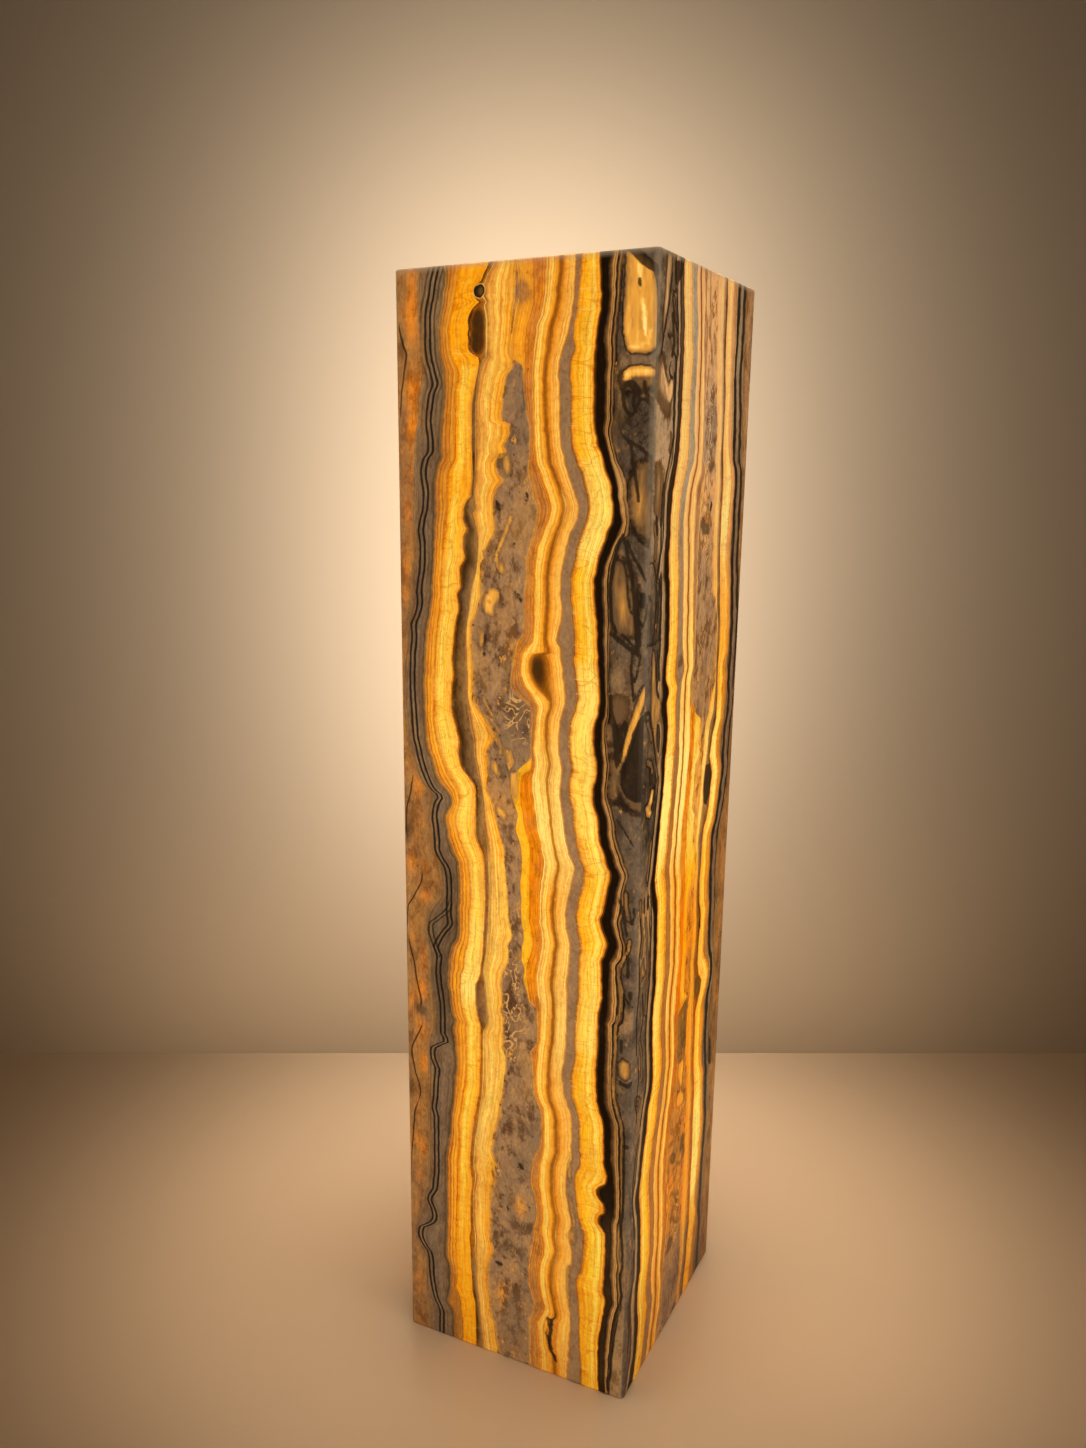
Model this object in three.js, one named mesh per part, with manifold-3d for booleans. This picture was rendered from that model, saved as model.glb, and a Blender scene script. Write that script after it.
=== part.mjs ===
// A polished, square-cut column of banded onyx, standing on its lower end.
//
// Millimetres, +Z up. The origin is at the middle of the base. The front face looks along -Y and
// the right face along +X; the near arris is the upright edge between them. The stone is one solid.
// Its front face is broken by four natural hollows, where a layer of crystals never closed.

import * as THREE from "three";
import { mergeVertices } from "three/addons/utils/BufferGeometryUtils.js";
import Module from "manifold-3d";

// Driving dimensions
const WIDTH = 230; // along X, the front face
const DEPTH = 254; // along Y, the right face
const HEIGHT = 1000;
const ARRIS_RADIUS = 5; // the four upright edges
const ARRIS_SEGMENTS = 6; // flats in each rounded upright edge
const END_EASING = 1.5; // the edges round the top and the base
const END_EASING_SEGMENTS = 3;
const CUTTER_STAND_OFF = 1; // how far a hollow's cutter starts in front of the face

// The stone's finish
const ONYX_COLOUR = 0xd9963a;
const ONYX_ROUGHNESS = 0.16;

// A hollow's cross-section, from its near lip to its far lip: the wall slopes gently down from the
// near lip, is deepest beyond the middle, and comes up steeply to the far lip.
const HOLLOW_WALL = [
  { across: 0, depth: 0 },
  { across: 0.22, depth: 0.42 },
  { across: 0.5, depth: 0.82 },
  { across: 0.76, depth: 1 },
  { across: 0.93, depth: 0.86 },
  { across: 1, depth: 0 },
];

// The hollows in the front face. Each row is a level of the hollow, from its top down:
// [height, far lip, near lip, depth], where a lip is measured from the near arris.
const HOLLOWS = {
  round_vug: [
    [985.5, 151.5, 148, 0.4],
    [984, 153.5, 146, 2.5],
    [980, 155.5, 145, 4],
    [976, 154.5, 145, 3.8],
    [973, 152, 146, 2],
    [971, 150, 147.5, 0.3],
  ],
  scalloped_vug: [
    [969.5, 150.5, 148, 0.3],
    [967, 154, 146, 2],
    [963, 157, 144.5, 4.5],
    [956, 159.5, 143.5, 6],
    [951, 158.8, 143.5, 6],
    [947, 160, 143.5, 6],
    [942, 159, 143.5, 6],
    [937, 159.5, 143.5, 5.5],
    [933, 157.5, 144, 4],
    [930.5, 154, 145, 2],
    [929, 150.5, 146.5, 0.4],
  ],
  eye_hollow: [
    [694, 96, 93, 0.4],
    [691, 99, 89.5, 2.5],
    [685, 101.5, 88, 4.5],
    [679, 102, 87, 5],
    [672, 100, 87, 4.5],
    [665, 95, 86, 3],
    [660, 90.5, 83.5, 2],
    [655, 85.5, 82, 1],
    [652, 83.5, 82, 0.3],
  ],
  long_channel: [
    [809, 162, 158, 0.4],
    [806, 165.5, 157, 2],
    [802, 165.5, 156, 3],
    [797, 164, 154.5, 3],
    [793, 162, 153.5, 3],
    [788, 165, 152.5, 3],
    [779, 166, 152, 3],
    [770, 164.5, 152.5, 3],
    [760, 169, 153.5, 2.6],
    [745, 168, 158, 2],
    [738, 172, 159.5, 1.6],
    [728, 170, 160.5, 1.4],
    [715, 173, 162.5, 1.2],
    [700, 175, 163.5, 1.2],
    [680, 177, 163, 1.2],
    [668, 175.5, 162.5, 1.2],
    [658, 177.5, 162.5, 1.2],
    [640, 178, 160.5, 1.2],
    [625, 174, 158, 1.2],
    [610, 170, 155, 1.2],
    [600, 171, 154.5, 1.2],
    [589, 168.5, 152, 1],
    [577, 158, 149.5, 0.8],
    [572, 154.5, 149, 0.4],
  ],
};

const wasm = await Module();
wasm.setup();

// A closed BufferGeometry as a solid that can be cut.
function toSolid(geometry) {
  const bare = geometry.clone();
  bare.deleteAttribute("normal");
  bare.deleteAttribute("uv");
  const merged = mergeVertices(bare, 1e-4);
  return new wasm.Manifold(
    new wasm.Mesh({
      numProp: 3,
      vertProperties: merged.attributes.position.array,
      triVerts: new Uint32Array(merged.index.array),
    }),
  );
}

// A cut solid as a BufferGeometry with flat-shaded faces.
function toGeometry(solid) {
  const mesh = solid.getMesh();
  const indexed = new THREE.BufferGeometry();
  const positions = new Float32Array(mesh.vertProperties);
  indexed.setAttribute("position", new THREE.BufferAttribute(positions, 3));
  indexed.setIndex(new THREE.BufferAttribute(new Uint32Array(mesh.triVerts), 1));
  const geometry = indexed.toNonIndexed();
  geometry.computeVertexNormals();
  return geometry;
}

// The column before its hollows: a rounded rectangle, extruded upwards with eased ends.
function makeBlock() {
  const halfWidth = WIDTH / 2 - END_EASING;
  const halfDepth = DEPTH / 2 - END_EASING;
  const radius = ARRIS_RADIUS - END_EASING;
  const outline = new THREE.Shape();
  outline.moveTo(-halfWidth + radius, -halfDepth);
  outline.lineTo(halfWidth - radius, -halfDepth);
  outline.absarc(halfWidth - radius, -halfDepth + radius, radius, -Math.PI / 2, 0);
  outline.lineTo(halfWidth, halfDepth - radius);
  outline.absarc(halfWidth - radius, halfDepth - radius, radius, 0, Math.PI / 2);
  outline.lineTo(-halfWidth + radius, halfDepth);
  outline.absarc(-halfWidth + radius, halfDepth - radius, radius, Math.PI / 2, Math.PI);
  outline.lineTo(-halfWidth, -halfDepth + radius);
  outline.absarc(-halfWidth + radius, -halfDepth + radius, radius, Math.PI, 1.5 * Math.PI);
  const block = new THREE.ExtrudeGeometry(outline, {
    depth: HEIGHT - 2 * END_EASING,
    curveSegments: ARRIS_SEGMENTS,
    bevelThickness: END_EASING,
    bevelSize: END_EASING,
    bevelSegments: END_EASING_SEGMENTS,
  });
  block.translate(0, 0, END_EASING);
  return block;
}

// One level of a hollow: a ring of points that starts in front of the face at the near lip, goes
// round the wall to the far lip, and comes back out.
function hollowRing([height, farLip, nearLip, depth]) {
  const face = -DEPTH / 2;
  const at = (lip, inwards) => new THREE.Vector3(WIDTH / 2 - lip, face + inwards, height);
  const wall = HOLLOW_WALL.map((point) =>
    at(THREE.MathUtils.lerp(nearLip, farLip, point.across), point.depth * depth),
  );
  return [at(nearLip, -CUTTER_STAND_OFF), ...wall, at(farLip, -CUTTER_STAND_OFF)];
}

// The solid that is cut away for a hollow: its levels joined in one closed skin.
function makeHollowCutter(rows) {
  const rings = rows.map(hollowRing);
  const size = rings[0].length;
  const faces = [];
  for (let level = 0; level + 1 < rings.length; level += 1) {
    for (let i = 0; i < size; i += 1) {
      const next = (i + 1) % size;
      const a = level * size + i;
      const b = level * size + next;
      const c = a + size;
      const d = b + size;
      faces.push(a, c, b, b, c, d);
    }
  }
  const last = (rings.length - 1) * size;
  for (let i = 1; i + 1 < size; i += 1) {
    faces.push(0, i, i + 1);
    faces.push(last, last + i + 1, last + i);
  }
  const cutter = new THREE.BufferGeometry().setFromPoints(rings.flat());
  cutter.setIndex(faces);
  return cutter;
}

function makeOnyxColumn() {
  let stone = toSolid(makeBlock());
  for (const rows of Object.values(HOLLOWS)) {
    stone = stone.subtract(toSolid(makeHollowCutter(rows)));
  }
  const material = new THREE.MeshStandardMaterial({
    color: ONYX_COLOUR,
    roughness: ONYX_ROUGHNESS,
    metalness: 0,
  });
  const column = new THREE.Mesh(toGeometry(stone), material);
  column.name = "onyx_column";
  return column;
}

const part = new THREE.Group();
part.add(makeOnyxColumn());

export default part;
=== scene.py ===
"""A polished, square-cut column of banded onyx with a painted glow from within, its own emission.

Metres and +Z up, in the CAD frame: the origin is at the middle of the base, the front face looks
along -Y and the right face along +X. Layers are laid down outwards from the near arris, so each is
crossed by the front face, the top and the right face in turn. A place on a face is given as its
distance from the near arris and its height, both in millimetres.
"""

import math

import bpy
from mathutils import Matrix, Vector
import numpy as np


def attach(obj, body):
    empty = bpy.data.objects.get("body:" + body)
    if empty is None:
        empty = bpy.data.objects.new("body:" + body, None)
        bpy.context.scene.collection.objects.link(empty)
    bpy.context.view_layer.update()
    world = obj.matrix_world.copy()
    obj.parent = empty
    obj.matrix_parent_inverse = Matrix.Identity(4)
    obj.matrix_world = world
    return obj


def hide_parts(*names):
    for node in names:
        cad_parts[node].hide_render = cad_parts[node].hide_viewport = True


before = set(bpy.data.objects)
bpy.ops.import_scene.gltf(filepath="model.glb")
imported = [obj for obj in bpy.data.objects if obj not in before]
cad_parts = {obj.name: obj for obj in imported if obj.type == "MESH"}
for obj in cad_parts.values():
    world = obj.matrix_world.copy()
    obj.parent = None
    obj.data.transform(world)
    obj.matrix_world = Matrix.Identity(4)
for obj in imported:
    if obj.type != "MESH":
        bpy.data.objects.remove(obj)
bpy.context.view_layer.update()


def curves(text):
    """The curves in a text table, each a name, then height:value points from the top down."""
    found = {}
    for word in text.split():
        if word[0].isalpha():
            points = found[word] = []
        else:
            points.append(tuple(float(part) for part in word.split(":")))
    return found


# Shape -------------------------------------------------------------------------------------------

MM = 0.001
WIDTH, DEPTH, HEIGHT = 230.0, 254.0, 1000.0
ARRIS_RADIUS = 5.0
END_EASING = 1.5
# The turns of the ends' easing at which the mesh has a level, in degrees from level.
EASING_TURNS = (0, 30, 60)
# The mesh's rows lie closest where the stone is most detailed, as (height, spacing above it).
ROW_SPACING = [(0, 4.2), (380, 3.0), (470, 3.6), (560, 2.9), (650, 2.6), (926, 2.2), (990, 2.8)]


def evenly(count, bias=1.0):
    """Fractions of a layer's width at which the mesh has a column, closer together near 0 where
    bias is over 1."""
    return (np.arange(count) / count) ** bias


def sharp(count, bias=1.0):
    """The same, with one more column just short of the next layer, for a sharp change there."""
    return np.append(evenly(count, bias), 0.96)


HOLLOW_COLUMNS = np.array([0, 0.06, 0.14, 0.25, 0.38, 0.52, 0.66, 0.78, 0.87, 0.93, 0.97])
# The layers that the front and right faces cross, outwards from the near arris, each with the
# fractions of its width at which the mesh has a column.
LAYERS = {
    "corner": sharp(20, 1.3),
    "tan": evenly(8),
    "black": evenly(3),
    "wide_yellow": sharp(7),
    "grey": sharp(3),
    "peach": evenly(4),
    "core": HOLLOW_COLUMNS[::2],
    "pair": sharp(4),
    "orange": sharp(3),
    "amber": sharp(2),
    "breccia": sharp(13),
    "outer_peach": sharp(6),
    "cavity": HOLLOW_COLUMNS,
    "yellow": sharp(5),
    "outer_orange": evenly(4),
    "lined_grey": evenly(11),
    "rind": 1 - (1 - evenly(10)) ** 1.3,
}
NAMES = list(LAYERS)
SEEN_LAYERS = len(NAMES)
# The layers of the sides out of sight, which carry on from the rind to the far arris, as (the seen
# layer that it looks like, its share of the side, its columns). Each is crossed from its far side.
HIDDEN = [
    ("rind", 28, [0, 0.07, 0.16, 0.5]), ("lined_grey", 25, [0]), ("outer_orange", 12, [0]),
    ("yellow", 17, [0]), ("cavity", 6, [0]), ("outer_peach", 21, [0]), ("breccia", 47, [0]),
    ("orange", 11, [0]), ("pair", 16, [0]), ("peach", 13, [0]), ("grey", 11, [0]),
    ("wide_yellow", 22, [0]), ("black", 8, [0]), ("tan", 17, [0, 0.7, 0.84, 0.93]),
]

# Where each layer starts on the front face, as height:distance. "core_middle" is the thin core's
# middle, and "line" the inner of the two black lines in the lined grey layer.
FRONT = curves("""
tan 1000:28 900:33 880:33 870:34 850:30 840:25 830:21 820:20 810:18 800:17.5 792:18 788:24 780:28
  770:30.5 760:32 720:31 700:31.5 680:32 650:30.5 630:33 620:30.5 600:29 580:30.5 570:27 560:24.5
  550:22.5 540:20 530:16 520:12.5 512:9.5 505:11.5 500:12.5 480:12 470:15 460:13 450:10 440:9
  430:14.5 420:14 410:11.5 400:10 380:11 375:15 350:14.5 310:14.5 300:12 290:9.5 280:7 260:5.5
  240:5.5 200:4.5 180:6 160:7 150:7 140:4 130:5 100:4 90:6 80:7.5 70:9.5 50:10.5 40:12 20:13 10:14
  0:13.5
black 1000:38 990:40 960:40 940:43 920:41 880:41.5 870:42 860:39 850:36.5 840:32.5 830:29.5 820:28
  810:27 802:25 795:27 785:31 775:35 765:39 755:40 740:39.5 730:38 710:38 700:37 670:35.5 660:34.5
  650:35 640:37.5 620:37.5 610:36 580:36.5 570:35 560:31.5 550:30.5 540:29.5 530:26 520:22.5 510:18
  500:20 490:22 470:24.5 460:22 450:18.5 440:21.5 430:25 380:26.5 375:28 360:27 310:27 300:26.5
  290:23 280:20 270:19.5 250:18.5 232:17 220:15.5 200:14.5 190:15 180:17 170:16 130:16 120:15.5
  110:14.5 100:14 90:16 80:18 70:19 50:20 20:20 10:19 0:18
wide_yellow 1000:47.6 960:46 950:48 940:49 920:50.5 900:50 880:50 870:48 860:46 850:42 840:39
  830:34.5 820:33 810:32 802:33 795:36 785:39 775:43 765:45 755:47 740:46 730:45 720:43.5 700:42.5
  680:41 670:40 660:39.5 650:40.5 640:43 630:44.5 620:44 610:42 600:40.5 590:42 580:44 570:43
  560:39.5 550:38 540:37 530:33 520:30 510:26.5 500:28 490:30 480:31.5 470:34.5 465:34 460:32.5
  455:30 450:27.5 440:30 430:32.5 400:31 390:33 380:34 350:34 330:35 310:34.5 300:33.5 290:31
  280:27.5 270:26.5 250:25.5 245:25 240:26 232:23 225:22 220:23.5 215:29 210:31.5 205:30.5 200:25
  195:22.5 190:24 185:28.5 180:29 175:26 170:22 130:21.5 110:23 100:20 90:21 80:22.5 70:24 60:25.5
  40:26 20:25.5 0:24
grey 1000:62 980:63 970:64.5 960:65 950:67.5 940:68 932:66.5 925:69 920:70.5 900:69 880:69 860:67.5
  850:64.5 845:62.5 840:59.5 835:57.5 830:56.5 820:53 810:52.5 800:55 790:58.5 780:61.5 770:63.5
  760:66 740:66.5 730:65 700:62 690:63 680:61.5 670:60 660:58.5 650:60.5 640:64 630:65.5 610:65
  600:63 590:64.5 580:65 570:63 560:61 550:60.5 540:58.5 530:56.5 520:53.5 510:50 500:50 490:53
  480:55.5 470:56.5 460:55.5 450:53 440:52 430:53 400:53 380:54.5 350:55.5 340:54.5 330:55.5 320:58
  300:57.5 290:54 280:51 270:49.5 250:49 240:48 230:48 225:51 220:52.5 210:53 200:51.5 180:49
  170:45.5 160:42.5 130:44 120:46 110:49.5 100:48.5 90:47 80:46 50:45 30:43.5 10:42 0:42
peach 1000:67 990:67.5 970:68.5 960:69.5 950:71.5 940:74 930:78 920:80.5 900:79.5 880:79 860:77.5
  850:75 840:72 830:68 820:64 812:61.5 800:64 790:69 780:71.5 770:73.5 760:76 740:76 730:74.5
  720:76 710:78.5 705:79 700:76 690:74.5 670:72 660:70.5 655:70 645:73 640:74 630:75.5 620:76
  610:75 600:73 590:72 580:73.5 560:71.5 550:69.5 540:68 530:66 520:62.5 512:59 505:59.5 500:61
  490:63 480:65.5 470:67 460:66 450:64 440:62 430:62 420:63 400:64.5 380:63.5 350:64 330:65.5
  320:67.5 300:65.5 290:62 280:58.5 270:57 240:57 230:60 220:61.5 200:62 190:60 180:58 170:55.5
  160:57 150:56.5 130:54 120:59 100:58.5 80:56 60:54.5 40:55.5 20:56.5 0:57
core_middle 1000:80 990:79.5 980:81 960:83.5 950:87 940:88.5 930:90 920:91.5 900:92 880:91 870:90
  860:88.5 850:88 840:84 830:79.5 820:76 812:74.5 800:77 790:81 780:84 770:86 760:88 740:87.5
  720:88.5 710:89 700:87.5 695:86.5 650:83 645:85 640:86 630:87 620:86.5 610:85.5 600:83.5 590:85
  580:85.5 570:84 560:83 550:81.5 540:80 530:78.5 520:76 510:74 500:76 490:77 480:78.5 470:79
  460:78 450:76.5 440:75 430:76 420:77 400:79 380:76.5 350:77.5 330:79.5 320:80.5 300:80.5 290:79
  280:75.5 270:73 240:71.5 230:74 220:76 200:76 190:75 180:73 170:71 160:72 150:73 140:71 135:70
  120:74 110:75.5 100:75.5 90:74 80:72 70:70 65:69.5 60:73 50:74.5 30:76 20:71 0:69
orange 1000:90.5 980:91 970:92.5 960:94 950:98 940:99.5 930:101 920:102.5 880:101.5 860:101 850:100
  840:96.5 830:92.5 820:88 812:86 800:89 790:93 780:97 770:99 760:100 720:100 702:101 699:106
  695:109 690:111 680:112 670:110.5 665:108 660:103 655:100 650:97 645:96 640:96.5 630:97.5 610:99
  600:97.5 580:98.5 570:97 560:95.5 550:94 540:92 530:89.5 520:87.5 510:86 500:87 490:88.5 480:90
  460:90 450:88 440:87 430:88 420:89.5 410:91.5 400:92 390:91 380:89 350:90 330:92 310:93.5 300:93
  290:91.5 280:87 275:85.5 240:85 230:87 220:88.5 200:89 190:87.5 170:85 150:86 140:83 130:83
  120:86 110:87.5 90:86.5 80:84 70:82 65:83 60:85.5 50:89.5 40:88 30:87 10:85.5 0:86
amber 1000:104 970:103 960:105 950:108 940:110 910:110 880:106 870:104 840:105 830:103 820:100
  810:97 800:98 790:100 780:103 770:106 750:106 740:108 710:108 700:114 680:118 670:120 660:118
  650:103 640:100 600:100.5 592:102 588:109 570:110.5 560:109.5 550:108 540:105.5 530:102 520:100.5
  500:101 460:101 450:99.5 440:97.5 430:98 420:101 410:103.5 400:103 390:101.5 380:99 375:92
  350:91.5 340:92 335:96 330:98 320:96.5 300:94.5 290:93.5 280:89 270:86 250:86 240:87 230:92
  220:94 200:96 190:93.5 180:91 170:89.5 160:91 140:93 130:94.5 110:97.5 90:97 80:94 70:91 60:93
  50:96 20:95.5 0:95
breccia 1000:118 980:115 960:118 950:120 940:122 930:123 920:112 910:110.3 880:106.3 870:104.3
  840:105.3 830:103.3 820:100.3 810:97.3 800:98.3 790:100.3 780:103.3 770:106.3 750:106.3 740:108.3
  710:108.3 700:114.3 680:118.3 670:120.3 660:118.3 650:103.3 640:100.3 605:101 592:113 580:120
  570:119 560:116 550:113 540:115 530:112 520:109.5 500:109 490:110.5 480:109.5 460:109 450:107.5
  440:106.5 430:108 420:108.5 410:105 400:106 390:103 380:100 375:92.5 350:92 340:92.5 335:96.5
  330:98.5 320:97 300:95 290:94 280:89.5 270:86.5 250:86.5 240:87.5 230:92.5 220:94.5 200:96.5
  190:94 180:91.5 170:90 160:91.5 140:93.5 130:95 110:98 90:97.5 80:94.5 70:91.5 60:93.5 50:96.5
  20:96 0:95.5
outer_peach 1000:118.5 980:117 960:120 940:122.5 930:123.5 925:120 920:120 915:124 910:127 900:129
  890:130.5 880:131 877:123 870:122 865:124 860:128 855:126 850:131 845:135 840:135 832:129 828:134
  820:137 810:138 800:137 795:136 790:138 785:141 780:143 775:148 770:146 765:150 740:150 730:152
  725:154 720:157 715:159 690:159 670:157 650:158 645:156 640:152 635:147 630:143 625:138 620:136
  610:141 605:144 590:143 570:144 560:139 550:136 540:133 530:130 520:127 510:126 490:124 470:122.5
  460:121.5 450:120 440:118 430:122 420:121 410:123.5 400:128 390:129.5 380:128 370:127 365:130
  360:126 330:126 320:124 300:125 280:127.5 270:129.5 260:130.5 250:133 240:136 220:138 212:135
  208:132 200:137 190:136 180:139 160:140 130:140 113:137 100:141 80:143 60:140 40:139 35:135
  20:133.5 10:131.5 0:130
cavity 1000:136 995:139 990:143 985:145 980:146 975:147 970:144 960:142 950:143.5 940:142 930:143
  925:148 920:150 900:153 890:154 850:154 820:155.5 810:154 800:152 790:151 775:151 765:150.5
  760:153 750:156.5 740:159 720:161 710:163 670:162 650:161 640:160 630:158 620:156 610:154.5
  600:154 590:152 580:149 560:147 550:146 530:144 520:142.5 500:141.5 480:141 460:141.5 430:143
  420:144 400:147 390:145 370:143.5 350:142.5 345:144.5 340:147 300:147 280:148 260:150.5 240:153
  230:155 220:156 200:157 190:155 180:156 170:157.5 140:157.5 120:155 110:156 90:154 70:154
  50:151.5 30:150 10:148 0:147
yellow 1000:139 995:142 990:145 986:147 984:152 980:155 976:154.5 972:151 970.5:148.5 969:151
  965:156 960:158.5 955:159.5 940:159.5 935:158.5 932:157 930:153 928:149.5 925:149.5 920:151
  910:153.5 900:155.5 890:157 850:157 840:156.5 820:157.5 818:160 815:163 810:165 806:165.5 800:165
  797:164 793:162 790:163 788:165 780:166 770:164.5 765:167 760:169 755:170 750:168.5 740:169
  738:172 733:171 728:170 720:170.5 715:173 700:175 680:177 670:176 665:175 663:177 640:178 635:179
  630:178 625:174 620:172 610:170 600:171 590:169 585:166 580:162 575:156 570:154 530:154 520:151
  515:148.5 510:146.5 500:145 460:144 450:145 430:146 410:147.5 400:149 390:151 385:154 370:154
  360:153 350:151 345:149 320:149 300:150 280:150.5 270:152 260:154 240:157 230:158.5 200:160.5
  180:158.5 150:160 130:159 120:161 110:160 90:159 60:157 50:155 30:154 0:153
outer_orange 1000:167 990:170 980:172 970:174 960:176.5 950:178 940:177.5 930:176 920:171 915:170
  900:172.5 850:174 840:180 810:181.5 800:183 780:185 760:187 740:188 720:190.5 700:193 660:195.5
  630:196 620:194.5 610:192.5 600:190 590:186.5 580:182 575:178.5 570:174.5 565:172 560:171
  550:172.5 540:175.5 530:173.5 520:170.5 510:166 500:162 490:161 470:160 450:161.5 430:162 420:164
  415:165.5 400:167 390:170.5 370:170.5 360:169.5 350:167.5 345:165 330:165 290:165.5 280:167.5
  260:170.5 250:172 240:174 220:173 200:174.5 170:175 150:176 100:177 80:175 65:176 60:177.5
  55:174.5 50:172 30:169.5 10:168.5 0:169
lined_grey 1000:182 990:180.5 980:182.5 970:184.5 960:186.5 950:188 930:187 920:184.5 900:183.5
  890:185 870:187 850:187.5 845:190 840:192 830:193.5 800:194 760:196 740:197.5 730:198.5 720:200.5
  710:202.5 680:205.5 660:206.5 610:205 600:203.5 595:200.5 590:198.5 580:196.5 575:194 570:190
  565:184 560:180 555:179 550:181 540:186 530:184.5 520:183 510:180 505:176 500:173.5 480:172.5
  430:173.5 425:175 420:178 410:181.5 400:183 380:184 370:182 360:181.5 350:179 345:177 335:179
  330:177.5 310:176.5 300:175.5 290:177 260:179.5 250:181 240:182 220:184 210:186 200:187.5 130:187
  100:188.5 90:188 80:184 60:184 50:185 40:187.5 35:185 30:181 0:180
rind 1000:203 990:205 960:205 940:203 920:202 910:202 900:205 880:206 870:209 850:211 830:211.5
  800:213.5 790:212 770:212 760:215 740:216 720:218 710:221 690:222 680:224 660:226 640:227 620:225
  610:224 600:221 590:216 580:213 570:207 560:199 550:199 540:201 510:199 500:193 490:191 470:189
  460:193 455:197 450:201 440:206 430:208 420:206 410:203 380:202 350:199 340:198 330:199 320:204
  310:205 300:204 250:204 200:205 180:206 160:208 155:211 140:213 130:216 120:220 110:223 100:221
  90:216 85:213 80:211 50:211 30:208 10:206 0:206
line 1000:187 990:190 980:192 970:194.5 960:196 940:196 930:195 920:192 910:189.5 900:193.5 880:196
  860:194 855:195 850:199 840:201.5 820:199.5 810:200.5 800:203 790:204.5 780:203 760:204 740:207
  730:206.5 720:209 710:213 700:212.5 680:214.5 660:215 610:212.5 600:210 590:207.5 580:204
  570:199.5 565:196 561:190 559:187 556:189 550:192 540:194 520:192 510:192 505:190 500:187 495:183
  490:181 480:179.5 450:180 440:179 435:182 430:186 420:192 414:194 405:190.5 390:192 370:189.5
  350:187.5 330:187.5 322:183.5 318:189 315:195 310:199 300:198 290:193.5 280:195 260:196 250:198
  240:195.5 200:195.5 180:196 160:198.5 153:203 148:204 140:200.5 130:198.5 125:200.5 118:208
  114:214 105:215 95:210 88:204 80:203 60:202 50:200.5 40:198 30:193 25:191.5 0:191.5
""")
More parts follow.
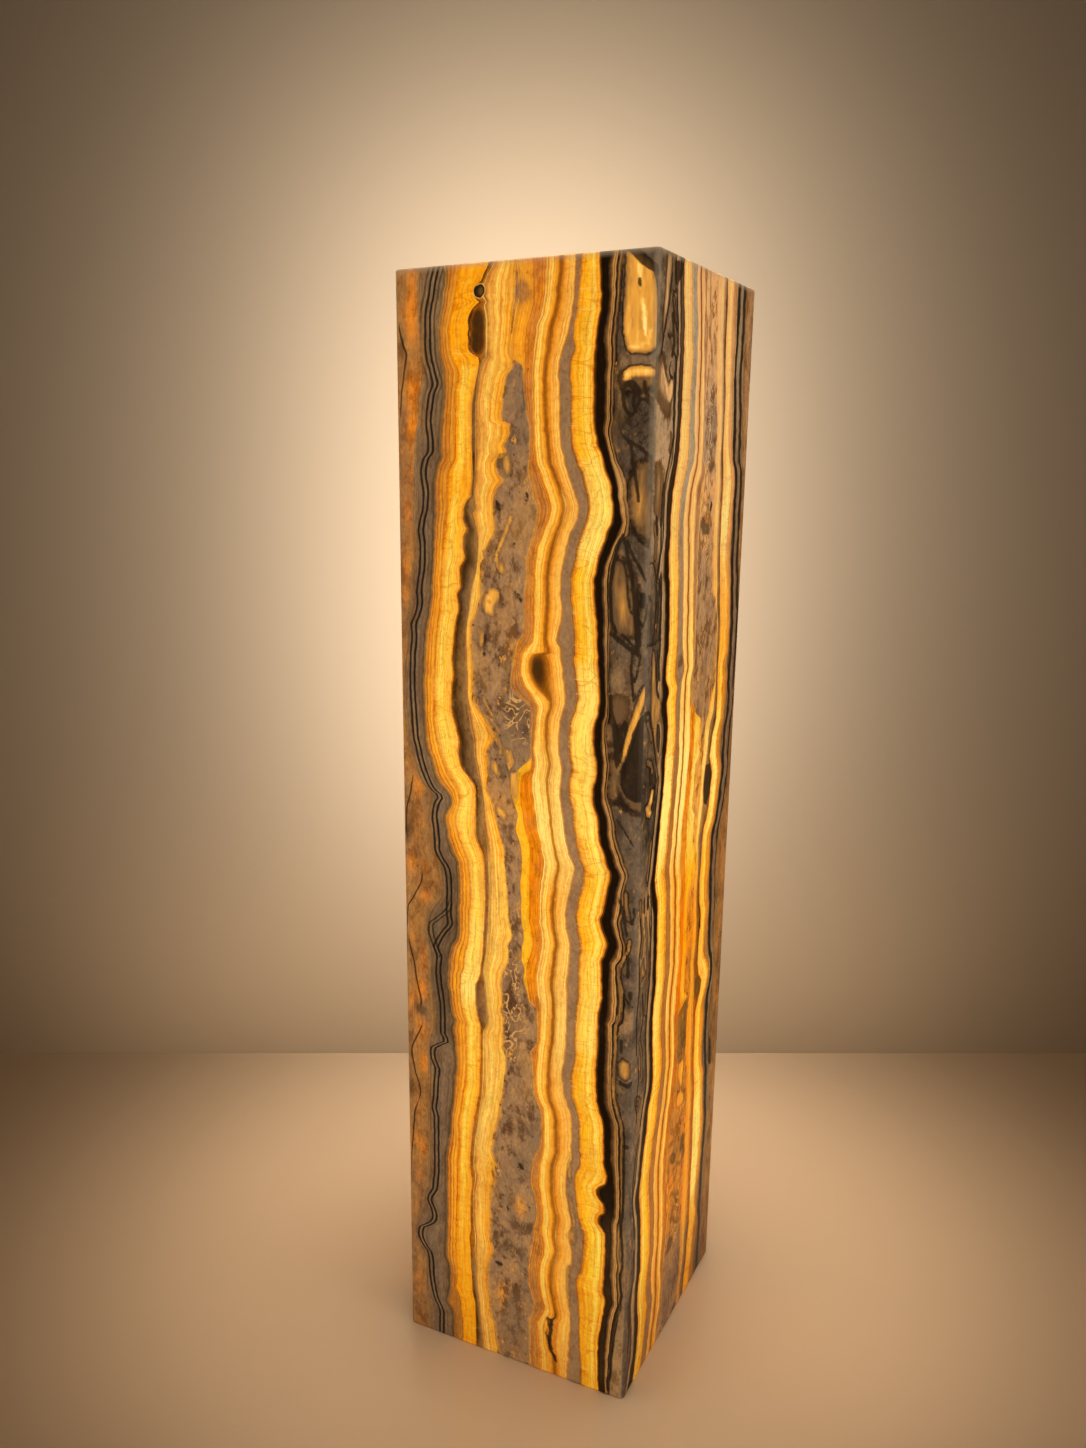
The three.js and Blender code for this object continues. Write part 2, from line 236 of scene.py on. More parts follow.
# The same on the right face. Each row is a height, then where each layer starts, in this order.
RIGHT_ORDER = (
    "tan black wide_yellow grey peach core_middle orange amber breccia outer_peach cavity yellow "
    "outer_orange lined_grey rind line"
).split()
RIGHT = """
1000 35 47 55 74 87 95 104 112 113 142 162 168 187 198 226 203
975 37 50 56 77 89 99 110 112 113 143 162 170 187 198 226 204
950 46 52 61 80 95 103 110 120 121 144 163 170 188 200 226 203
925 45 54 61 85 95 105 114 119 120 147 167 172 190 198 227 201
900 45 53 61 82 94 105 118 119 120 152 170 176 192 200 228 206
875 45 53 60 82 95 107 119 120 121 157 171 176 193 203 228 209
860 45 50 59 83 99 107 120 121 122 157 171 176 195 205 233 210
850 44 47 57 82 97 106 119 120 121 156 171 177 200 207 237 211
840 37 43 53 78 89 102 118 127 128 158 172 179 206 214 238 218
825 30 37 48 70 82 94 108 119 120 158 174 180 208 218 240 221
810 28 35 45 66 77 91 107 117 118 160 173 179 205 216 240 220
800 28 36 44 65 76 90 106 117 118 160 173 179 203 216 240 219
785 28 36 45 65 78 92 106 115 116 160 172 180 202 216 239 221
775 23 34 43 67 79 94 107 115 116 161 173 180 201 215 239 221
760 19 34 45 69 81 95 108 115 116 160 175 182 203 215 240 220
750 27 38 48 71 83 96 109 117 118 165 177 184 206 218 243 222
740 29 40 49 71 83 96 110 117 118 165 179 185 212 220 245 224
725 29 41 50 72 84 98 111 117 118 175 179 186 213 221 247 226
700 29 42 51 73 86 99 115 117 118 184 185 191 216 224 249 230
685 28 40 47 72 90 102 117 118 119 184 185 191 216 224 249 230
675 27 39 46 70 93 103 118 118 119 184 185 191 216 223 249 230
660 18 45 56 77 87 99 113 114 115 185 186 191 207 222 248 229
650 14 41 51 75 86 99 113 114 115 186 187 191 210 224 247 228
640 14 45 54 75 86 99 113 119 120 176 187 193 209 224 246 229
630 28 46 56 76 86 100 114 128 129 172 186 193 210 224 246 231
620 28 47 56 77 87 100 114 127 146 166 183 193 211 221 247 231
610 28 46 54 76 87 100 115 128 142 160 176 191 209 219 245 229
600 27 46 52 75 89 100 115 128 143 158 173 184 201 216 243 224
590 31 47 52 74 88 100 114 128 145 158 172 181 200 213 241 223
580 36 46 51 73 86 99 112 126 136 156 170 178 201 213 240 222
570 33 45 50 73 85 98 111 126 135 155 167 184 205 215 239 221
560 31 42 47 71 83 96 108 123 134 155 164 188 208 218 240 224
550 31 40 46 69 81 94 107 122 132 155 163 185 208 217 239 222
540 29 37 45 68 81 93 104 120 131 154 165 184 205 214 237 219
530 27 36 43 67 79 92 103 118 140 152 163 181 203 212 233 217
520 25 34 41 65 78 91 102 118 138 150 160 177 200 208 230 213
510 23 32 39 63 76 89 102 118 137 148 159 169 195 204 224 209
500 21 28 38 60 75 88 101 116 145 147 156 167 185 196 219 201
490 21 30 40 63 76 89 102 117 149 150 158 166 184 195 216 199
480 25 33 45 67 79 93 105 118 149 150 159 166 184 195 214 200
470 27 38 47 68 79 94 106 120 146 149 159 165 184 196 213 200
460 29 41 48 69 81 95 107 120 133 148 158.5 164 183 195 213 199
450 31 41 48 69 83 96 107 120 128 148 158 165 182 195 214 200
440 31 42 49 69 84 96 107 120 128 147 159 166 183 196 215 201
420 32 42 49 71 85 98 110 121 130 148 162 173 189 200 218 204
400 31 43 50 71 86 98 111 122 131 148 163 170 187 199 216 204
380 27 40 46 68 82 95 107 119 130 147 158 169 187 200 217 206
360 27 38 45 66 80 92 105 119 129 148 160 173 204 209 222 215
350 28 38 46 66 80 92 104 119 140 149 161 184 207 211 225 217
340 29 40 47 66 81 93 105 115 116 147 160 181 203 209 224 216
320 33 43 50 72 84 95 108 117 118 144 161 170 189 200 220 207
300 33 42 51 72 86 97 110 117 118 144 163 171 189 201 216 207
290 27 37 48 70 84 95 109 119 120 144 163 171 189 200 216 207
280 23 33 42 66 82 93 107 119 120 147 163 171 189 199 216 206
260 21 29 39 63 77 90 103 114 115 152 164 172 190 201 226 210
250 19 28 37 60 74 86 99 113 114 152 166 174 196 203 226 212
240 16 26 33 56 71 84 97 107 108 153 168 177 200 208 225 215
220 13 23 29 52 67 80 94 103 104 154 169 177 202 208 226 216
200 9 17 26 48 64 77 91 99 100 155 169 177 203 212 226 218
180 15 23 30 51 65 78 91 97 98 156 169 178 206 215 226 221
160 19 26 33 55 69 81 93 106 107 155 171 179 203 213 226 219
140 19 27 34 57 70 82 95 109 110 154 170 179 201 212 225 218
120 20 28 36 58 72 84 97 106 107 153 170 179 198 210 223 216
100 12 25 31 54 67 81 95 103 104 152 170 179 196 208 225 216
80 14 25 31 53 68 81 94 101 102 153 167 180 203 207 223 214
60 16 27 35 58 72 83 98 101 102 154 167 176 197 213 225 218
40 17 27 34 54 69 82 97 100 101 154 165 175 195 207 225 217
20 11 20 30 50 64 75 90 92 93 150 160 170 190 204 225 215
0 5 12 25 44 60 73 87 89 90 150 159 168 187 205 225 214
"""
CORE_HALF_WIDTH = 1.2

# The natural hollows in the front face: the layer that each one opens, then its levels from the
# top down, as (height, far lip, near lip, depth).
HOLLOWS = {
    "round_vug": ("cavity", [(984.5, 151.5, 149, 0.4), (983, 153.5, 147.5, 2.5),
        (979, 155, 146, 4), (975.5, 154, 147, 3.4), (974, 152, 148.5, 1.6),
        (973, 151, 149.5, 0.3)]),
    "scalloped_vug": ("cavity", [(969.5, 150.5, 148, 0.3), (967, 154, 146, 2),
        (963, 157, 144.5, 4.5), (956, 159.5, 143.5, 6), (951, 158.8, 143.5, 6),
        (947, 160, 143.5, 6), (942, 159, 143.5, 6), (937, 159.5, 143.5, 5.5), (933, 157.5, 144, 4),
        (930.5, 154, 145, 2), (929, 150.5, 146.5, 0.4)]),
    "eye_hollow": ("core", [(695, 96, 92, 0.4), (691, 100.5, 88, 2.5), (685, 103, 86, 4.5),
        (679, 103.3, 85.5, 5), (672, 101.3, 85.5, 4.5), (665, 96.5, 84.5, 3), (660, 91.5, 83, 2),
        (655, 86, 82, 1), (652, 83.5, 82, 0.3)]),
    "long_channel": ("cavity", [(809, 162, 158, 0.4), (806, 165.5, 157, 2), (802, 165.5, 156, 3),
        (797, 164, 154.5, 3), (793, 162, 153.5, 3), (788, 165, 152.5, 3), (779, 166, 152, 3),
        (770, 164.5, 152.5, 3), (760, 169, 153.5, 2.6), (745, 168, 158, 2), (738, 172, 159.5, 1.6),
        (728, 170, 160.5, 1.4), (715, 173, 162.5, 1.2), (700, 175, 163.5, 1.2),
        (680, 177, 163, 1.2), (668, 175.5, 162.5, 1.2), (658, 177.5, 162.5, 1.2),
        (640, 178, 160.5, 1.2), (625, 174, 158, 1.2), (610, 170, 155, 1.2), (600, 171, 154.5, 1.2),
        (589, 168.5, 152, 1), (577, 158, 149.5, 0.8), (572, 154.5, 149, 0.4)]),
}
# How a hollow's depth changes from its near lip at 0 to its far lip at 1.
HOLLOW_WALL = [(0, 0), (0.22, 0.42), (0.5, 0.82), (0.76, 1), (0.93, 0.86), (1, 0)]
# How far from its tips a hollow reaches its full share of its layer.
HOLLOW_TIP = 2.5

# How far each layer leans, as height:lean, from its plain colour at 0 to its dim colour at -1 and
# its bright colour at 1.
FRONT_SHADES = curves("""
corner 1000:-0.2 930:-0.1 921:0.45 914:0 900:-0.5 870:-0.5 855:-0.3 840:-0.3 820:0 810:0 795:-0.3
  750:0 700:0.1 690:0.4 645:0.5 635:-0.4 575:-0.5 565:-0.1 500:0 470:-0.1 400:0 390:0.5 372:0.45
  362:-0.25 350:-0.1 342:0.5 328:0.45 320:-0.5 303:-0.35 290:0.15 275:0 255:-0.3 235:-0.1 160:0.25
  90:0.5 60:0.85 0:0.8
tan 1000:-0.2 880:-0.3 830:0.5 760:0 660:-0.5 620:-0.1 560:0.2 500:0 360:-0.3 260:-0.45 160:0.2 0:0
black 1000:0 250:0 160:0.3 0:0.3
wide_yellow 1000:-0.4 860:-0.35 845:0.4 780:0.6 755:-0.1 700:-0.15 680:0.5 520:0.4 500:0.1 450:-0.1
  430:0.3 345:0.35 335:-0.2 260:-0.1 250:-0.4 180:-0.4 165:0.1 125:0 110:-0.5 0:-0.5
grey 1000:-0.4 940:-0.3 920:0 0:0
peach 1000:-0.1 900:0 830:0.15 700:0 600:0.5 540:0.8 470:0.3 350:0.6 300:0.2 240:0 60:-0.2 0:-0.4
core 1000:0 830:0.1 820:0.6 800:0.3 700:0 640:0.3 560:0.7 480:0.2 200:0.2 160:0.4 80:0.1 62:-0.6
  55:-0.8 22:-0.8 12:0 0:0
pair 1000:-0.1 900:0 700:0 600:0.5 540:0.8 470:0.1 400:0.3 300:0.2 200:0 60:-0.4 0:-0.5
orange 1000:0.55 935:0.5 905:0.4 870:0.2 830:-0.5 750:-0.2 690:-0.5 602:-0.7 594:0.5 588:1 395:1
  375:0 340:-0.2 0:-0.5
amber 1000:0.1 925:0.1 912:-0.6 603:-0.7 600:0.9 590:1 400:0.9 380:0 370:-0.4 0:-0.3
breccia 1000:1.7 935:1.7 918:0 760:0 740:0.15 700:0 600:0.05 560:0.3 520:0.05 380:0 360:0.1 340:0
  100:0 60:0.2 0:0.2
outer_peach 1000:0.1 930:0.1 860:0.1 780:0.3 740:0.4 690:0.2 640:0 600:0 520:0.2 500:0.5 400:0.5
  340:0.3 320:0.5 220:0.4 200:0.1 120:0.1 100:-0.2 0:-0.3
cavity 1000:0.8 940:0.8 920:0.1 900:-0.7 825:-0.65 815:-0.2 580:-0.3 560:-0.2 490:0.6 395:0.5
  380:0.3 350:0.3 335:0.8 120:0.8 90:0.3 0:0.2
yellow 1000:-1 926:-1 919:-0.1 850:-0.1 838:-0.4 825:-0.6 815:-0.2 740:0.25 600:0.3 500:0.3 420:0.5
  380:0.7 350:0.3 250:0 150:-0.4 100:-0.8 0:-1
outer_orange 1000:-0.4 920:-0.45 800:-0.4 760:0 560:0.3 500:0.2 300:0.2 200:0 120:-0.1 60:-0.7
  0:-0.8
lined_grey 1000:0.55 930:0.25 860:0.1 800:0 560:0.2 480:-0.4 340:-0.5 300:0 0:0
rind 1000:0 900:0.15 800:0.15 740:-0.05 600:-0.1 560:-0.4 500:-0.2 300:-0.2 260:-0.6 180:-0.2
  0:-0.2
""")
# Near the top of the right face the high leans are partly the stone's tone, partly a painted sheen.
RIGHT_SHADES = curves("""
corner 1000:0.1 960:0.2 930:0.3 880:0.7 860:0.8 830:0.9 800:0.9 760:0.2 720:-0.6 690:-0.1 640:-0.3
  590:-0.8 540:-0.6 500:0.2 460:0.8 430:0.6 400:0.2 330:-0.2 300:0 230:0 150:-0.1 80:-0.1 0:-0.3
tan 1000:-0.5 960:-0.4 880:-0.3 600:0 560:-0.6 520:0 480:1.1 440:1.2 400:0.5 340:0.3 120:0 60:-0.7
  0:-0.7
black 1000:0.9 940:0.6 860:0.35 800:0.3 750:0 0:0
wide_yellow 1000:-0.2 860:-0.35 800:-0.2 700:-0.2 620:0 590:0.4 530:0.5 490:0.1 440:0 390:0.3 330:0
  250:0 200:-0.2 100:-0.15 0:-0.4
grey 1000:1 860:1 780:0.5 700:0.3 650:0 600:-0.6 520:-0.9 460:-0.8 380:-0.8 300:-1 120:-1 60:-0.4
  0:-0.4
peach 1000:-0.1 820:0.4 600:0.6 530:0.5 460:0 300:0.1 200:0.1 0:-0.3
core 1000:-0.8 930:-0.6 880:-0.3 740:-0.4 600:0.1 500:-0.2 440:-0.3 360:0 0:0
pair 1000:-0.6 930:-0.2 870:0 600:0.7 530:0.6 460:0 300:0.1 100:0 0:-0.3
orange 1000:-1 650:-0.8 630:0.9 350:0.9 335:-0.6 290:-0.4 0:-0.5
amber 1000:-1 640:-0.7 625:1 355:1 340:-0.8 0:-0.6
outer_peach 1000:-0.4 850:0.2 810:0.3 720:-0.1 640:0 620:0.2 500:0.2 460:-0.1 400:0.1 260:-0.15
  150:0 80:-0.3 0:-0.8
breccia 1000:0.8 960:1 920:0.6 890:0.2 860:0.1 825:0.9 790:0.5 740:0.15 660:0.25 600:0.5 560:0.85
  470:0.85 380:0.6 350:0.5 340:-0.6 295:-0.6 285:0.35 230:0.35 160:0.6 90:0.3 60:0.1 0:0
cavity 1000:0 900:-0.4 870:-0.3 820:0.5 790:0.4 740:0 660:-0.3 560:0.2 500:0.2 460:0 350:0.6
  300:0.9 100:0.9 60:0 0:0
yellow 1000:-0.2 870:-0.1 840:0.3 790:0.7 750:0 730:-0.6 660:-0.4 600:0.1 500:-0.1 430:-0.2
  380:-0.4 300:0.1 230:0.4 200:0.8 120:0.8 90:0 0:-0.8
outer_orange 1000:-0.9 900:-0.4 800:-0.2 740:-0.5 560:-0.6 460:-0.3 360:-1 260:0 160:-0.2 60:-0.8
  0:-0.9
lined_grey 1000:0.7 860:0.5 800:0 400:0 360:0.8 320:0.2 260:0.1 160:0.5 60:0.3 0:-0.2
rind 1000:-0.3 620:-0.4 560:-0.7 500:-0.4 300:-0.6 200:-0.4 0:-0.4
""")
# One black vein in each of two layers of the front face: its place and its strength, by height.
VEINED_LAYERS = ("rind", "lined_grey")
FRONT_VEINS = curves("""
rind_place 1000:226 960:226 952:225 942:222 934:219 915:222 892:225 850:226 620:224 575:219 560:221
  540:226 524:227 500:216 481:210 462:218 448:226 434:228 420:226 409:224 395:220 375:217 356:213
  333:213 318:219 305:224 285:221 262:215 242:221 215:224 180:227 120:226 0:224
rind_strength 1000:0 962:0 952:1 935:1 915:0.7 890:0.7 880:0 580:0 565:0.8 524:0.8 512:0 492:0
  480:0.8 434:0.8 424:0 412:0.9 356:1 346:0 336:0 328:0.9 262:0.8 252:0.3 242:0.9 180:0.7 165:0 0:0
lined_grey_place 1000:230 462:182 458:183 450:188 442:197 435:204 428:204 420:201 414:199 408:195
  0:195
lined_grey_strength 1000:0 466:0 458:0.8 450:1 414:1 406:0.6 400:0 0:0
""")
# Soft local changes to how far the stone leans, as (place, height, reach across, reach up,
# strength).
FRONT_BLOBS = [
    (213, 985, 6, 20, 0.8), (213, 955, 7, 16, 0.8), (212, 905, 7, 16, 0.7), (214, 872, 5, 14, 0.9),
    (213, 838, 6, 14, 0.6), (218, 805, 6, 12, 0.5), (221, 760, 6, 14, 0.5), (224, 735, 5, 12, 0.5),
    (213, 565, 10, 18, 0.9), (209, 535, 7, 12, 0.7), (222, 492, 6, 16, 0.9),
    (207, 492, 8, 12, 0.6), (207, 462, 7, 8, 0.8), (223, 420, 5, 12, 0.5), (208, 405, 7, 18, 0.8),
    (211, 370, 8, 14, 0.9), (212, 330, 10, 16, 0.8), (224, 355, 5, 16, 0.7),
    (209, 292, 8, 14, 0.9), (214, 245, 10, 20, 0.8), (212, 205, 9, 14, 0.7),
    (222, 215, 5, 14, 0.6), (219, 170, 7, 18, 0.4), (222, 130, 5, 20, 0.35),
    (220, 60, 6, 20, 0.45), (213, 45, 5, 14, 0.4), (222, 940, 2.5, 12, -1), (213, 348, 5, 6, -1.6),
    (226, 520, 4, 14, -0.6), (113, 976, 5, 8, -2.6), (108, 170, 8, 12, 0.8), (127, 72, 5, 12, 0.5),
    (5, 808, 6, 14, 0.9), (22, 652, 6, 8, 0.5), (30, 634, 4, 8, 0.5), (120, 700, 8, 20, 0.35),
]
RIGHT_BLOBS = [
    (240, 460, 8, 20, 0.6), (243, 400, 7, 14, 0.5), (236, 385, 6, 10, 0.4), (233, 320, 6, 18, 0.8),
    (229, 225, 5, 16, 0.5), (228, 170, 5, 12, 0.8), (246, 200, 6, 20, 0.35),
    (250, 145, 8, 10, 0.6), (224, 255, 7, 12, -1.4), (240, 150, 7, 9, -0.7),
    (248, 300, 6, 14, 0.4), (252, 870, 4, 40, 0.4), (135, 275, 8, 8, 1), (132, 243, 9, 7, 1),
    (136, 215, 20, 8, 0.4), (106, 155, 8, 18, 0.7), (133, 820, 6, 14, 0.6), (136, 780, 8, 6, 0.6),
    (146, 815, 4, 6, -0.8), (129, 794, 5, 6, -1), (140, 190, 16, 10, -0.5), (8, 900, 8, 14, 0.6),
    (26, 902, 10, 10, 0.8), (130, 400, 8, 30, 0.7), (137, 445, 8, 16, 0.9), (134, 375, 8, 20, 0.9),
    (145, 600, 6, 16, 0.6),
]
# Where thin curled lines run, in the same form: black near the near arris, pale elsewhere.
FRONT_CURLS = [
    (118, 398, 10, 24, 1), (116, 355, 12, 26, 1), (120, 326, 10, 10, 0.9), (118, 640, 12, 32, 0.8),
    (105, 640, 8, 24, 0.8), (122, 440, 8, 16, 0.8), (132, 205, 5, 18, 0.8),
    (130, 800, 10, 20, 0.5), (12, 872, 14, 30, 1), (10, 775, 12, 18, 0.5), (8, 690, 10, 20, 0.7),
    (10, 600, 12, 26, 0.8), (8, 430, 7, 20, 0.5), (115, 545, 8, 30, 0.4),
]
RIGHT_CURLS = [
    (136, 895, 9, 34, 0.8), (142, 840, 12, 30, 0.8), (142, 770, 14, 22, 0.8),
    (140, 230, 14, 30, 0.8), (135, 140, 14, 34, 1), (134, 95, 12, 16, 0.8), (140, 600, 6, 20, 0.5),
    (138, 430, 6, 20, 0.6), (36, 940, 10, 20, 1), (20, 740, 12, 30, 0.6), (14, 400, 8, 60, 0.7),
    (12, 560, 14, 60, 0.5), (10, 90, 6, 60, 0.5),
]
# Marks on the two seen faces, as (kind, tone, half width, points), each point a (place, height). A
# mark with no half width is a filled outline, and the others are strokes. "warm" marks have a tone
# from 0, dull tan, to 1, bright yellow, "glow" marks are warm ones with soft edges, and "ink" marks
# are black.
FRONT_MARKS = [
    ("warm", 0.6, 0, [(26, 998), (27, 960), (27, 942), (24, 931), (20, 927), (8, 926), (-2, 930),
        (-2, 955), (2, 975), (6, 988), (14, 996)]),
    ("warm", 0.47, 1.3, [(23, 985), (22.5, 965), (20, 945)]),
    ("warm", 0.47, 1.3, [(5, 980), (3, 955), (2, 938)]),
    ("warm", 0.76, 2.4, [(15, 988), (13, 968), (10, 945)]),
    ("warm", 0.78, 2, [(22, 931), (15, 931), (8, 933), (5, 942)]),
    ("warm", 0.98, 1.5, [(12.5, 964), (10.5, 950), (9.5, 940)]),
    ("warm", 0.5, 1.2, [(16.5, 980), (15.5, 960), (13.5, 944)]),
    ("warm", 0.78, 0, [(27, 908), (26, 913), (22, 916), (14, 917), (6, 916), (0, 914), (0, 910),
        (8, 909), (18, 909), (24, 906)]),
    ("glow", 0.3, 0, [(26, 908), (0, 910), (0, 903), (24, 902)]),
    ("glow", 0.4, 0, [(4, 845), (12, 842), (17, 826), (16, 806), (10, 796), (4, 800), (2, 820)]),
    ("glow", 0.42, 0, [(0, 824), (7, 822), (10, 812), (9, 800), (6, 792), (0, 790)]),
    ("glow", 0.62, 0, [(28, 754), (21, 754), (18, 744), (16, 730), (18, 720), (26, 718),
        (29, 726)]),
    ("glow", 0.3, 0, [(28, 770), (20, 768), (13, 750), (11, 716), (24, 714), (30, 722),
        (31, 750)]),
    ("glow", 0.3, 4, [(22, 656), (22, 646)]),
    ("warm", 0.74, 2.8, [(-1, 670), (3.5, 660), (8, 646), (11.5, 634), (15, 622), (18, 612)]),
    ("warm", 0.5, 1.6, [(18, 612), (22.5, 602), (24.5, 590), (24, 580)]),
    ("glow", 0.34, 0, [(27, 610), (22, 612), (21, 598), (22, 588), (23, 578), (28, 578),
        (28, 592)]),
    ("glow", 0.3, 2.5, [(30, 636), (29, 628)]),
    ("glow", 0.24, 0, [(14, 577), (-2, 577), (-2, 570), (8, 571)]),
    ("warm", 0.2, 0.8, [(21, 600), (21, 590), (17, 582), (10, 577)]),
    ("warm", 0.3, 1.2, [(12, 497), (11, 485), (9, 475)]),
    ("warm", 0.5, 0.8, [(7, 455), (8, 447), (12, 438), (16, 428), (16, 420), (13, 410), (13, 390),
        (16, 384), (18, 370), (17, 355), (18.5, 325), (18, 310), (16, 300), (10, 283), (9, 270)]),
    ("ink", 0, 1, [(6, 245), (5.5, 200), (8, 185), (5, 160), (4, 140), (7, 130), (4, 110), (9, 90),
        (12, 70), (12, 55), (14, 35), (13, 25), (16, 15), (15, 5)]),
    ("warm", 0.45, 0, [(13, 330), (14, 340), (10, 345), (4, 343), (3, 330), (8, 326)]),
    ("ink", 0, 3, [(21, 1000), (12, 991), (-2, 982)]),
    ("ink", 0, 1.1, [(15.5, 978), (15, 974)]),
    ("ink", 0, 1.2, [(26, 900), (24, 905), (19, 906), (14, 901), (13, 892), (16, 884), (20, 881),
        (24, 886), (26, 893), (26, 900)]),
    ("ink", 0, 1.1, [(22, 903), (19, 903), (17, 897), (18, 889), (15, 886), (14, 890)]),
    ("ink", 0, 1.2, [(9, 905), (8, 898), (4, 894), (0, 892)]),
    ("ink", 0, 1.2, [(12, 893), (7, 893), (3, 888), (0, 885)]),
    ("ink", 0, 1.1, [(25, 866), (20, 862), (12, 858), (4, 852), (0, 850)]),
    ("ink", 0, 1.1, [(19, 862), (17, 848), (14, 835), (11, 818)]),
    ("ink", 0, 0.9, [(14, 797), (12, 791), (8, 787), (4, 784), (0, 782)]),
    ("ink", 0, 1.3, [(23, 791), (27, 784), (29, 776), (31, 766), (33, 752), (32, 736), (31, 724),
        (27, 716)]),
    ("ink", 0, 1.3, [(23, 791), (20.5, 784), (18, 772), (15, 760), (12.5, 746), (11, 730),
        (9.5, 714), (8, 702)]),
    ("ink", 0, 0.8, [(28, 773), (22, 771), (19, 760), (17.5, 744), (15, 731)]),
    ("ink", 0, 1, [(19, 786), (14, 775), (8, 766), (3, 757)]),
    ("ink", 0, 1.7, [(31, 714), (26, 710), (20, 706), (14, 702), (8, 699)]),
    ("ink", 0, 0.9, [(22, 714), (16, 709), (10, 703)]),
    ("ink", 0, 0.8, [(12, 698), (13, 685), (12, 677), (10, 676), (8, 682), (7, 690), (5, 697)]),
    ("ink", 0, 0.9, [(12, 677), (11, 668), (10, 660)]),
    ("ink", 0, 2.6, [(5, 745), (5, 738)]),
    ("ink", 0, 0.9, [(10, 750), (9, 735), (8, 720), (6, 705)]),
    ("ink", 0, 0.8, [(8, 725), (4, 721), (1, 730), (0, 738)]),
    ("ink", 0, 0.8, [(2, 674), (6, 668), (9, 662)]),
    ("ink", 0, 0, [(14, 580), (18, 587), (19, 597), (17, 608), (13, 622), (10, 634), (6, 644),
        (2, 649), (-2, 650), (-2, 578), (6, 577)]),
    ("ink", 0, 0, [(23, 603), (19, 612), (17, 628), (14, 640), (17, 645), (22, 636), (25, 641),
        (28, 640), (27, 630), (25, 620), (26, 612)]),
    ("ink", 0, 0.9, [(26, 642), (29, 652), (30, 664)]),
    ("ink", 0, 0.9, [(20, 580), (15, 573), (8, 569), (0, 567)]),
    ("ink", 0, 0.5, [(22, 560), (14, 550), (6, 538)]),
    ("ink", 0, 1.1, [(18, 491), (15, 484), (14, 478), (12, 470), (10, 460)]),
    ("ink", 0, 1.3, [(4, 484), (4, 482)]),
    ("ink", 0, 1.2, [(3, 477), (6, 471)]),
    ("ink", 0, 2, [(5, 408), (5, 404)]),
    ("ink", 0, 0.8, [(10, 403), (6, 398), (2, 396)]),
    ("ink", 0, 1, [(8, 440), (8, 422)]),
    ("ink", 0, 1.4, [(12, 363), (12, 352)]),
    ("ink", 0, 0.8, [(12, 362), (6, 360), (0, 362)]),
    ("ink", 0, 2, [(12, 323), (6, 321), (0, 324)]),
    ("ink", 0, 1.8, [(6, 262), (3, 262)]),
    ("warm", 0.46, 0, [(129, 854), (124, 853), (121, 846), (122, 838), (126, 836), (129, 842)]),
    ("warm", 0.02, 1.6, [(132, 852), (132.5, 843)]),
    ("warm", 0.82, 1.2, [(121, 804), (128, 788), (136, 768)]),
    ("warm", 0.6, 0, [(134, 766), (130, 768), (126, 760), (129, 757), (134, 761)]),
    ("warm", 0.66, 0, [(146, 738), (141, 746), (131, 743), (133, 734), (137, 730), (137, 722),
        (145, 724), (147, 731)]),
    ("warm", 0.3, 1, [(143, 741), (140, 732), (142, 725)]),
    ("warm", 0.62, 0, [(152, 712), (147, 708), (147, 699), (151, 693), (151, 703)]),
    ("warm", 0.6, 1, [(122, 692), (124, 676), (125, 660)]),
    ("warm", 0.68, 1.2, [(126, 662), (130, 655), (133, 646)]),
    ("warm", 0.66, 0, [(139, 599), (135, 597), (130, 586), (132, 583), (138, 590)]),
    ("warm", 0.68, 0, [(134, 557), (128, 556), (123, 549), (127, 546), (134, 551)]),
    ("warm", 0.6, 0, [(132, 541), (128, 540), (128, 536), (131, 537)]),
    ("warm", 0.6, 1, [(131, 611), (125, 604), (122, 596)]),
    ("warm", 0.72, 0.9, [(147, 652), (139, 637), (131, 623)]),
    ("warm", 0.66, 0.9, [(146, 640), (140, 622), (130, 610), (124, 607)]),
    ("warm", 0.6, 0.8, [(134, 622), (130, 612), (131, 604)]),
    ("warm", 0.72, 0, [(120, 604), (124, 594), (119, 588), (113, 590), (114, 566), (117, 562),
        (120, 576)]),
    ("warm", 0.66, 0, [(127, 609), (120, 608), (117, 598), (120, 594), (124, 602)]),
    ("warm", 0.7, 1, [(112, 430), (109, 424), (114, 418)]),
    ("warm", 0.75, 0.8, [(137, 209), (135, 200), (131, 194), (135, 188), (132, 176), (128, 170)]),
    ("warm", 0.75, 0.8, [(126, 330), (121, 322), (115, 332)]),
    ("warm", 0.72, 1.1, [(57, 240), (59, 228), (57.5, 214)]),
    ("warm", 0.72, 1.1, [(57, 196), (54, 178), (53, 166)]),
    ("warm", 0.7, 0.9, [(56, 160), (58, 155), (56, 150), (52, 151), (51, 157), (54, 161)]),
    ("warm", 0.66, 1, [(58, 122), (58, 104), (57, 90)]),
    ("ink", 0, 1.1, [(107, 823), (107, 817)]),
    ("ink", 0, 1.2, [(134, 816), (132, 808)]),
    ("ink", 0, 1.3, [(114, 741), (112, 736)]),
    ("ink", 0, 1, [(145, 706), (144, 692), (147, 688)]),
    ("ink", 0, 1.1, [(121, 306), (121, 303)]),
    ("ink", 0, 1.2, [(125, 267), (125, 263)]),
    ("ink", 0, 1.2, [(126, 228), (126, 225)]),
    ("ink", 0, 1.8, [(109, 215), (106, 211)]),
    ("ink", 0, 1.2, [(121, 167), (120, 163)]),
    ("ink", 0, 2, [(132, 103), (128, 102)]),
    ("ink", 0, 1.2, [(112, 87), (112, 83)]),
    ("ink", 0, 1.3, [(78, 62), (76, 52), (79, 42), (75, 32), (71, 24), (68, 16)]),
    ("ink", 0, 0.9, [(74, 60), (72, 50), (75, 40), (73, 30)]),
]
